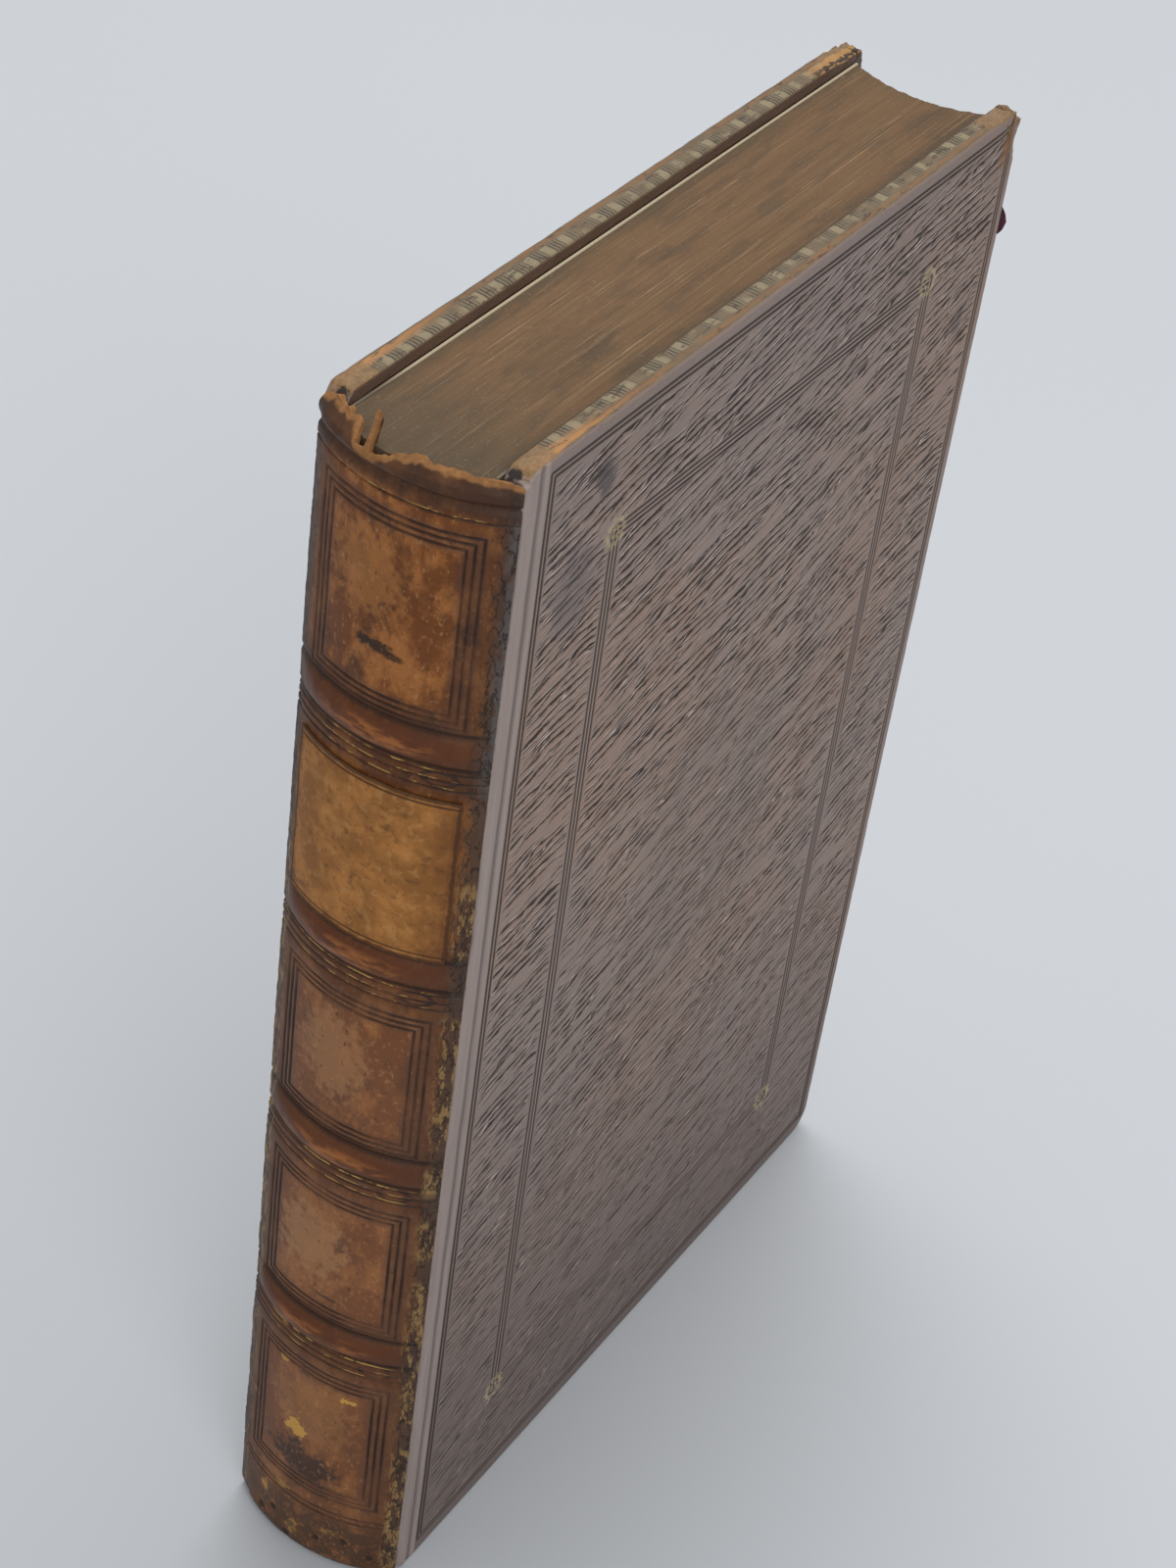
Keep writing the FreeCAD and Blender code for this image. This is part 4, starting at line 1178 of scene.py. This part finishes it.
# %% Bands, pressed lines and gold
def paint_bands(finish, calf):
    """The bands are polished red-brown, pale on their crests from rubbing and painted highlight,
    with painted shade at their feet.
    """
    up = finish.z
    band = finish.attribute("band")
    rubbed = finish.blotches((4, 4, 1.2), 0.42, 0.62, detail=6, shift=6)
    uneven = finish.grain((6, 6, 5), detail=6, shift=9) * 0.5 + 0.35
    # Darker zone round each band: partly the leather's dark tone by the pallets, partly painted
    # shade
    around = sum(finish.line(up - place + 2.2, 12.5, soft=1.6) for place in BANDS)
    # Painted shade: black lines at the feet of each band
    foot = sum(finish.line(abs(up - place) - BAND_FOOT - 0.2, 0.8, soft=0.38) for place in BANDS)
    return finish.coats(
        calf,
        (around * uneven, (0.06, 0.022, 0.01)),
        (finish.rise(band, 0.05, 0.5) * 0.65, (0.095, 0.027, 0.009)),
        # Pale band crests: partly rubbed leather, partly painted highlight
        (finish.rise(band, 0.6, 1.0) * rubbed * 0.75, (0.35, 0.125, 0.035)),
        (foot * 0.85, (0.014, 0.006, 0.004)),
    )


def paint_spine_lines(finish, calf):
    """Dark pressed lines and loops, with what is left of the gold in the pallets."""
    y, up = finish.y, finish.z
    lines = sum(tool.mark(finish, y, up, 0.5) for tool in spine_frames)
    lines = lines + sum(finish.line(up - height, 0.45) for height in END_LINES + pallet_lines)
    for place, height in LOOPS:
        wide, tall = (y - place) / 2.3, (up - height) / 1.15
        lines = lines + finish.line((wide * wide + tall * tall) ** 0.5 - 1, 0.36, soft=0.1)
    worn = finish.blotches((7, 7, 12), 0.36, 0.62, detail=4, shift=12)
    lines = lines * (worn * 0.65 + 0.25)
    dusky = sum(
        finish.line(tool.outside(y, up) + FRAME_PITCH, 3.6, soft=0.6) for tool in spine_frames
    )
    kept = finish.blotches((2.6, 2.6, 0.8), 0.50, 0.56, detail=5, shift=3)
    gold = finish.line(up - END_LINES[-1] - 0.25, 0.32)
    gold = gold + sum(finish.line(up - height - 0.3, 0.3) for height in pallet_lines)
    gilt = gold * kept * finish.line(y + 1, 22, soft=2)
    calf = finish.coats(
        calf,
        (dusky * 0.4, (0.075, 0.04, 0.027)),
        (lines, (0.028, 0.012, 0.008)),
        (gilt * 0.9, (0.62, 0.38, 0.1)),
    )
    return calf, gilt, lines


# %% Joints and torn head, and the finish of the spine
def paint_joint_edges(finish, calf):
    """Cracks, dirt and ochre flakes along the joints, and a painted grey sheen by the head."""
    y, up = finish.y, finish.z
    ragged = finish.grain((1.2, 1.2, 3.2), detail=7, roughness=0.7)
    flank = finish.rise(abs(y) + ragged * 4, HALF - 0.8, HALF + 0.8)
    # Painted sheen: bluish grey along the front joint near the head
    grey_sheen = 1 - finish.rise(y + ragged * 4.4, 2.5 - HALF, 3.6 - HALF)
    grey_sheen = grey_sheen * finish.rise(up + ragged * 30, 178, 196)
    flaked = finish.blotches((1, 1, 3.4), 0.50, 0.54, detail=7, roughness=0.65, shift=8)
    flaked = flaked * finish.rise(abs(y), HALF - 3.2, HALF - 1.6) * (1 - finish.rise(up, 154, 162))
    flaked = flaked * finish.blotches((40, 40, 9), 0.33, 0.46, detail=1, shift=2)
    cracks = finish.line(finish.grain((1.5, 1.5, 3.4), detail=5, shift=15) - 0.5, 0.05, soft=0.02)
    cracks = cracks * finish.rise(abs(y), HALF - 3.4, HALF - 1.6)
    return finish.coats(
        calf,
        (flank * 0.75, (0.052, 0.034, 0.025)),
        (grey_sheen * 0.75, (0.088, 0.082, 0.084)),
        (flaked * 0.85, finish.mix(ragged, (0.11, 0.06, 0.024), (0.4, 0.245, 0.09))),
        (cracks * 0.8, (0.016, 0.009, 0.006)),
    )


def paint_torn_head(finish, calf, gilt, lines):
    """The torn edge shows the orange flesh of the skin over a dark, greasy fold."""
    up = finish.z
    ragged = finish.grain((3, 3, 1.6), detail=6)
    greasy = finish.rise(up + ragged * 3, 218.6, 221)
    torn = finish.rise(finish.attribute("torn") + ragged * 0.7, 0.62, 1.0)
    fibres = finish.grain((1.1, 1.1, 0.8), detail=7, roughness=0.65)
    calf = finish.coats(
        calf,
        (greasy * 0.8, (0.042, 0.02, 0.012)),
        (torn, finish.mix(fibres, (0.075, 0.027, 0.009), (0.44, 0.215, 0.08))),
    )
    for place, height, radius in TAIL_PITS:
        rough = (finish.grain((1.2, 1.2, 1.2), detail=4, shift=place) - 0.5) * 1.2
        pit = spot(finish, finish.y, up, (place, height), (radius, radius), rough)
        calf = finish.mix(pit * 0.85, calf, (0.024, 0.017, 0.012))
    wrinkles = finish.grain((1, 1, 1.8), detail=7, roughness=0.65)
    cracks = finish.blotches((0.8, 0.8, 1.8), 0.60, 0.70, detail=6, shift=2)
    normal = finish.bump(wrinkles - cracks * 0.4 - lines * 0.5, 0.5, 0.16)
    polish = 0.36 + 0.24 * finish.grain((4, 4, 4), detail=4)
    polish = polish + 0.35 * torn - 0.1 * finish.attribute("band")
    return finish.paint(Base_Color=calf, Roughness=polish, Metallic=gilt * 0.5, Normal=normal)


calf_finish = smooth_calf()
finish_piece(spine, "book_block", "spine_calf", calf_finish, "spine_leather", angle=50)

# %% [markdown]
# ## The label
#
# A thin piece of ochre leather was pared and pasted on the second panel. It could be a flat
# plate with a picture on it, but it follows the round of the back, so it is one more sheet bent
# over it, with a blind line along its edges, which are slightly uneven.

# %% The label's skin
LABEL_PLY = 0.3
LABEL_LIFT = 0.36
SIDE_MARGIN = 0.9
END_MARGIN = 1.1
LABEL_LINES = ToolFrame(
    label_low[1] + SIDE_MARGIN, label_high[1] - SIDE_MARGIN,
    label_low[2] + END_MARGIN, label_high[2] - END_MARGIN, 1,
)


def label_skin():
    columns = tooled_places(label_low[1], label_high[1], 0.6, LABEL_LINES.upright_lines())
    rows = tooled_places(label_low[2], label_high[2], 0.6, LABEL_LINES.level_lines())
    skin = lay_grid("title_label_skin", columns, rows)
    places = points_of(skin)
    y, up = places[:, 0].copy(), places[:, 2].copy()
    flat = flat_places(y, up)
    out = LABEL_LIFT + 0.035 * waves(flat, (2.4, 2.4, 1), 11) - 0.12 * LABEL_LINES.groove(y, up)
    edge = np.clip(1 + LABEL_LINES.outside(y, up) / 0.9, 0, 1)
    out -= 0.10 * edge**4
    ragged = 0.12 * waves(flat, (2.2, 2.2, 1), 12)
    y = y - np.sign(y) * np.where(np.abs(y) > label_high[1] - 0.3, np.abs(ragged), 0)
    bend_round(places, y, up, out)
    move_points(skin, places)
    return skin


label = label_skin()
thicken(label, LABEL_PLY, (1, 0, 0))
print("label", len(label.data.vertices), "vertices")


# %% The finish of the label
def ochre_leather():
    finish = Finish("ochre_leather", roughness=0.5, Specular_IOR_Level=0.2)
    y, up = finish.y, finish.z
    cloud = finish.blotches((6, 6, 6), 0.4, 0.65, detail=7, roughness=0.62, shift=2)
    rubbed = finish.blotches((1.6, 1.6, 1.6), 0.52, 0.66, detail=7, shift=5)
    smudged = finish.blotches((3.5, 3.5, 2.2), 0.56, 0.68, detail=6, shift=8)
    flecks = finish.blotches((0.7, 0.7, 0.7), 0.58, 0.70, detail=4, shift=3)
    soft = finish.grain((2, 2, 2))
    shade = finish.rise(0 - y + soft * 3, 10.5, 15)
    rim = finish.rise(LABEL_LINES.outside(y, up) + soft * 0.8, 0.75, 1.15)
    straight = finish.line(abs(up - LABEL_LINES.middle[1]) - LABEL_LINES.half[1], 0.34)
    ochre = finish.coats(
        finish.mix(cloud, (0.235, 0.094, 0.022), (0.385, 0.163, 0.040)),
        (rubbed * 0.45, (0.430, 0.220, 0.070)),
        (smudged * 0.55, (0.095, 0.040, 0.012)),
        (flecks * 0.45, (0.075, 0.032, 0.011)),
        (shade * 0.6, (0.115, 0.040, 0.011)),
        (rim * 0.8, (0.045, 0.018, 0.008)),
        (straight * 0.85, (0.045, 0.018, 0.008)),
    )
    grain = finish.grain((0.8, 0.8, 0.8), detail=6)
    normal = finish.bump(grain, 0.45, 0.12)
    return finish.paint(Base_Color=ochre, Roughness=0.46 + 0.25 * grain, Normal=normal)


finish_piece(label, "book_block", "label_leather", ochre_leather(), "title_label", angle=50)

# %% [markdown]
# ## The pages
#
# Hundreds of leaves, sewn in gatherings, make one block: rounded at the back and hollow at the
# fore edge. Modelling each leaf would take millions of faces for a stripe. So the block's section
# is a grid with a row every third of a millimetre, given its shape, extruded to its height and
# cut across a few times. Each row then stands a little higher or lower than the next.

# %% The section of the block
HOLLOW = 3.0
LEAF_ROW = 0.33
PAGE_COLUMNS = 56
SHOULDER_STEP = 0.01
BACK_GAP = 0.35
BLOCK_HALF = solid_corners("rear_flyleaf")[0][1]


def block_rows():
    """Rows across the leaves; the shoulders under the boards begin a hair outside them."""
    leaves = np.linspace(-BLOCK_HALF, BLOCK_HALF, round(2 * BLOCK_HALF / LEAF_ROW) + 1)
    shoulder = np.linspace(BLOCK_HALF + SHOULDER_STEP, pages_high[1], 8)
    return np.concatenate([-shoulder[::-1], leaves, shoulder])


def block_section():
    block = lay_grid("pages", np.linspace(0, 1, PAGE_COLUMNS), block_rows())
    places = points_of(block)
    share, y = places[:, 0].copy(), places[:, 2].copy()
    back_radius = BACK_RADIUS - LEATHER - BACK_GAP
    back = BACK_CENTRE - np.sqrt(back_radius**2 - y**2)
    fore_edge = pages_high[0] - HOLLOW * (1 - (y / BLOCK_HALF) ** 2)
    end = np.where(np.abs(y) > BLOCK_HALF + SHOULDER_STEP / 2, JOINT, fore_edge)
    places[:, 0] = back + (end - back) * share
    places[:, 1] = y
    places[:, 2] = pages_high[2]
    move_points(block, places)
    return block


def stand_up(piece, height):
    """Extrudes a flat section downwards into a closed block."""
    activate(piece)
    bpy.ops.object.mode_set(mode="EDIT")
    bpy.ops.mesh.select_all(action="SELECT")
    bpy.ops.mesh.extrude_region_move(TRANSFORM_OT_translate={"value": (0, 0, -height * MM)})
    bpy.ops.mesh.select_all(action="SELECT")
    bpy.ops.mesh.normals_make_consistent(inside=False)
    bpy.ops.object.mode_set(mode="OBJECT")


block = block_section()
stand_up(block, pages_high[2] - pages_low[2])
print("pages", np.round(pages_high - pages_low, 1), "with", len(block.data.polygons), "faces")

# %% Leaves that stand a little higher or lower
BLOCK_CUTS = 16
GATHERING = 2.6


def cut_across(piece, heights):
    activate(piece)
    bpy.ops.object.mode_set(mode="EDIT")
    for height in heights:
        bpy.ops.mesh.select_all(action="SELECT")
        bpy.ops.mesh.bisect(plane_co=(0, 0, height * MM), plane_no=(0, 0, 1))
    bpy.ops.object.mode_set(mode="OBJECT")


def leaf_depths(across, y, seed):
    """How far each leaf's edge lies below the highest one, at a place along it."""
    flat = flat_places(across, y)
    leaves = 0.10 * waves(flat, (70, 0.45, 1), seed) + 0.07 * waves(flat, (25, 1.1, 1), seed + 1)
    gatherings = 0.03 * np.cos(y * 2 * math.pi / GATHERING)
    bow = 0.12 * waves(flat, (90, 9, 1), seed + 2)
    return 0.24 + leaves + gatherings + bow


def ruffle_leaves(piece):
    places = points_of(piece)
    across, y, up = places.T.copy()
    between = np.abs(y) < BLOCK_HALF + SHOULDER_STEP / 2
    depth = np.clip(leaf_depths(across, y, 21), 0.02, 0.6)
    places[:, 2] -= np.where(up > pages_high[2] - 0.1, depth, 0)
    places[:, 2] += np.where(up < pages_low[2] + 0.1, depth, 0)
    edge = np.clip(leaf_depths(up * 0.7, y, 31), 0.02, 0.6)
    at_fore_edge = between & (across > pages_high[0] - HOLLOW - 0.2)
    places[:, 0] -= np.where(at_fore_edge, edge, 0)
    move_points(piece, places)


cut_across(block, np.linspace(pages_low[2] + 5, pages_high[2] - 5, BLOCK_CUTS))
ruffle_leaves(block)
print("block", len(block.data.vertices), "vertices")

# %% [markdown]
# ## Paper edges
#
# The head was never gilt. Two centuries of dust made it brown, greyer towards the boards and the
# spine, with a fine line where each leaf ends and a few dark smudges. The lines run with the
# leaves, so the noise is stretched along them: across the page at the head, and upwards at the
# fore edge.

# %% The finish of the pages
PAGE_STAINS = [((-40.0, -1.5), (13.0, 6.0)), ((-8.0, 3.5), (4.0, 1.6)), ((57.0, -7.0), (8.0, 4.0))]


def dusty_paper():
    finish = Finish("dusty_paper", roughness=0.85, Specular_IOR_Level=0.2)
    across, y, up = finish.x, finish.y, finish.z
    streaks = finish.grain((38, 0.28, 60), detail=6, roughness=0.7)
    bands = finish.grain((90, 1.7, 140), detail=3, shift=3)
    clouds = finish.grain((13, 3, 16), detail=7, roughness=0.62, shift=6)
    patches = finish.blotches((14, 0.8, 20), 0.46, 0.58, detail=4, shift=1)
    scratches = finish.rise(streaks, 0.57, 0.65) * patches
    soft = finish.grain((7, 3, 7), detail=5)
    margin = finish.rise(abs(y) + soft * 4.5, BLOCK_HALF - 0.6, BLOCK_HALF + 2.6)
    spine_end = 1 - finish.rise(across + soft * 16, JOINT + 7, JOINT + 30)
    fore_end = finish.rise(across + soft * 10, pages_high[0] - 4, pages_high[0] + 8)
    grey = larger(larger(margin, spine_end), fore_end * 0.5)
    paper = finish.coats(
        finish.mix(streaks, (0.052, 0.028, 0.013), (0.245, 0.146, 0.076)),
        (finish.rise(bands, 0.35, 0.7) * 0.45, (0.180, 0.098, 0.050)),
        (finish.rise(clouds, 0.48, 0.66) * 0.5, (0.082, 0.058, 0.038)),
        (scratches * 0.75, (0.360, 0.235, 0.130)),
        (grey * 0.6, (0.066, 0.056, 0.038)),
    )
    for centre, radii in PAGE_STAINS:
        rough = finish.grain((5, 1.6, 5), detail=7, roughness=0.65, shift=centre[0]) - 0.5
        stain = spot(finish, across, y, centre, radii, rough * 3)
        paper = finish.mix(stain * 0.22, paper, (0.050, 0.038, 0.026))
    dust = finish.blotches((0.5, 0.5, 0.5), 0.60, 0.70, detail=3, shift=5)
    paper = finish.mix(dust * 0.3, paper, (0.270, 0.190, 0.120))
    at_head = finish.rise(up, pages_high[2] - 2.5, pages_high[2] - 1)
    at_tail = 1 - finish.rise(up, 3.2, 4.5)
    side = finish.mix(streaks, (0.110, 0.070, 0.040), (0.290, 0.205, 0.125))
    paper = finish.mix(at_head + at_tail, side, paper)
    normal = finish.bump(streaks + dust * 0.2, 0.6, 0.18)
    return finish.paint(Base_Color=paper, Normal=normal)


finish_piece(block, "book_block", "pages", dusty_paper(), "text_block", angle=40)

# %% [markdown]
# ## The silk marker
#
# The end of the marker stands out of the fore edge, curls towards the front cover and droops to
# a slanting cut. Silk this narrow keeps its width and only bends, so it is a strip: straight
# between the leaves, then an arc, then straight again. A simulated cloth would look no better.

# %% The marker's strip
RIBBON_PLY = 0.22
RIBBON_INSET = 0.15
RIBBON_HOLD = 15.7
RIBBON_RADIUS = 8.0
RIBBON_TURN = math.radians(38)
RIBBON_TIP = 3.5
RIBBON_POINT = 0.4
RIBBON_SLANT = 3.2
RIBBON_DROOP = 1.3
RIBBON_RIPPLE = 0.12


def silk_marker():
    arc = RIBBON_RADIUS * RIBBON_TURN
    length = RIBBON_HOLD + arc + RIBBON_TIP
    columns = np.linspace(0, length, 70)
    strip = lay_grid("silk_marker", columns, np.linspace(ribbon_low[2], ribbon_high[2], 22))
    places = points_of(strip)
    along, up = places[:, 0].copy(), places[:, 2].copy()
    width = ribbon_high[2] - ribbon_low[2]
    cut = length - RIBBON_SLANT * np.abs((up - ribbon_low[2]) / width - RIBBON_POINT)
    along = along * cut / length
    free = along - RIBBON_HOLD
    bend = np.clip(free / RIBBON_RADIUS, 0, RIBBON_TURN)
    past = np.clip(free - arc, 0, None)
    reach = np.minimum(along, RIBBON_HOLD) + RIBBON_RADIUS * np.sin(bend)
    reach += past * math.cos(RIBBON_TURN)
    curl = RIBBON_RADIUS * (1 - np.cos(bend)) + past * math.sin(RIBBON_TURN)
    ripple = RIBBON_RIPPLE * np.sin(up * 2.1) * np.clip(free / 4, 0, 1)
    places[:, 0] = np.minimum(ribbon_low[0] + reach, ribbon_high[0] - RIBBON_INSET)
    places[:, 1] = ribbon_high[1] - RIBBON_INSET - curl + ripple
    places[:, 2] -= RIBBON_DROOP * np.clip(free / (length - RIBBON_HOLD), 0, 1) ** 2
    move_points(strip, places)
    return strip


marker = silk_marker()
thicken(marker, RIBBON_PLY, (0, 1, 0))
print("marker ends at", np.round(points_of(marker).max(0), 1))

# %% The finish of the marker
def crimson_silk():
    finish = Finish("crimson_silk", roughness=0.5, Sheen_Weight=0.1, Specular_IOR_Level=0.25)
    threads = finish.grain((0.25, 4, 0.12), detail=3)
    silk = finish.mix(threads, (0.012, 0.001, 0.003), (0.050, 0.003, 0.012))
    # Brighter crimson towards the outer end of the marker, darker elsewhere
    brighter_end = finish.rise(finish.x, ribbon_high[0] - 1.2, ribbon_high[0])
    silk = finish.mix(brighter_end * 0.7, silk, (0.180, 0.008, 0.040))
    return finish.paint(Base_Color=silk, Normal=finish.bump(threads, 0.4, 0.05))


finish_piece(marker, "book_block", "silk", crimson_silk(), "ribbon_marker")

# %% [markdown]
# ## Papers, boards and cords
#
# The endpapers, the pasteboards and the sewing cords are right as solids, so they stay and only
# get a finish. The endpapers show as a cream line at the head and fill the view when a cover
# opens. The boards and cords are nearly hidden, but a cover that opens gives a glimpse of them.

# %% Finishes of the solids that stay
def dress(nodes, material):
    """Puts a finish on solids that keep their own mesh."""
    for name in nodes:
        for place in frame["nodes"][name].material_slots:
            place.material = material
    print(material.name, "on", ", ".join(nodes))


def cream_paper():
    finish = Finish("cream_endpaper", roughness=0.8)
    foxing = finish.blotches((14, 14, 14), 0.60, 0.74, detail=6)
    laid = finish.grain((120, 3, 1.1), detail=2)
    at_head = finish.rise(finish.z, HEIGHT - 14, HEIGHT + 4)
    at_tail = 1 - finish.rise(finish.z, -4, 14)
    at_fore_edge = finish.rise(finish.x, FORE_EDGE - 16, FORE_EDGE + 4)
    edge = larger(larger(at_head, at_tail), at_fore_edge)
    # Painted shade: the endpaper darkens where it lies deep in the joint under the head of the
    # spine
    by_joint = 1 - finish.rise(finish.x + foxing * 6, JOINT + 5, JOINT + 17)
    shade_under_head = finish.rise(finish.z, HEIGHT - 5, HEIGHT - 3)
    paper = finish.coats(
        finish.mix(laid, (0.50, 0.42, 0.28), (0.60, 0.52, 0.37)),
        (foxing * 0.5, (0.36, 0.24, 0.12)),
        (edge * 0.4, (0.33, 0.25, 0.15)),
        (by_joint * shade_under_head * 0.85, (0.085, 0.062, 0.038)),
    )
    return finish.paint(Base_Color=paper, Normal=finish.bump(laid, 0.2, 0.08))


def raw_pasteboard():
    finish = Finish("raw_pasteboard", roughness=0.9)
    layers = finish.grain((9, 0.4, 9), detail=5)
    board = finish.mix(layers, (0.19, 0.13, 0.075), (0.34, 0.25, 0.15))
    return finish.paint(Base_Color=board, Normal=finish.bump(layers, 0.5, 0.2))


def hemp_cord():
    finish = Finish("hemp", roughness=0.9)
    twist = (finish.y * 3.2 + finish.z * 4.5).sum("SINE") * 0.5 + 0.5
    hemp = finish.mix(twist, (0.20, 0.14, 0.08), (0.40, 0.31, 0.19))
    return finish.paint(Base_Color=hemp, Normal=finish.bump(twist, 0.6, 0.15))


sides = ("front", "rear")
dress([f"{side}_{leaf}" for side in sides for leaf in ("flyleaf", "pastedown")], cream_paper())
dress([f"{side}_board" for side in sides], raw_pasteboard())
dress([f"sewing_cord_{number}" for number in (1, 2, 3, 4)], hemp_cord())
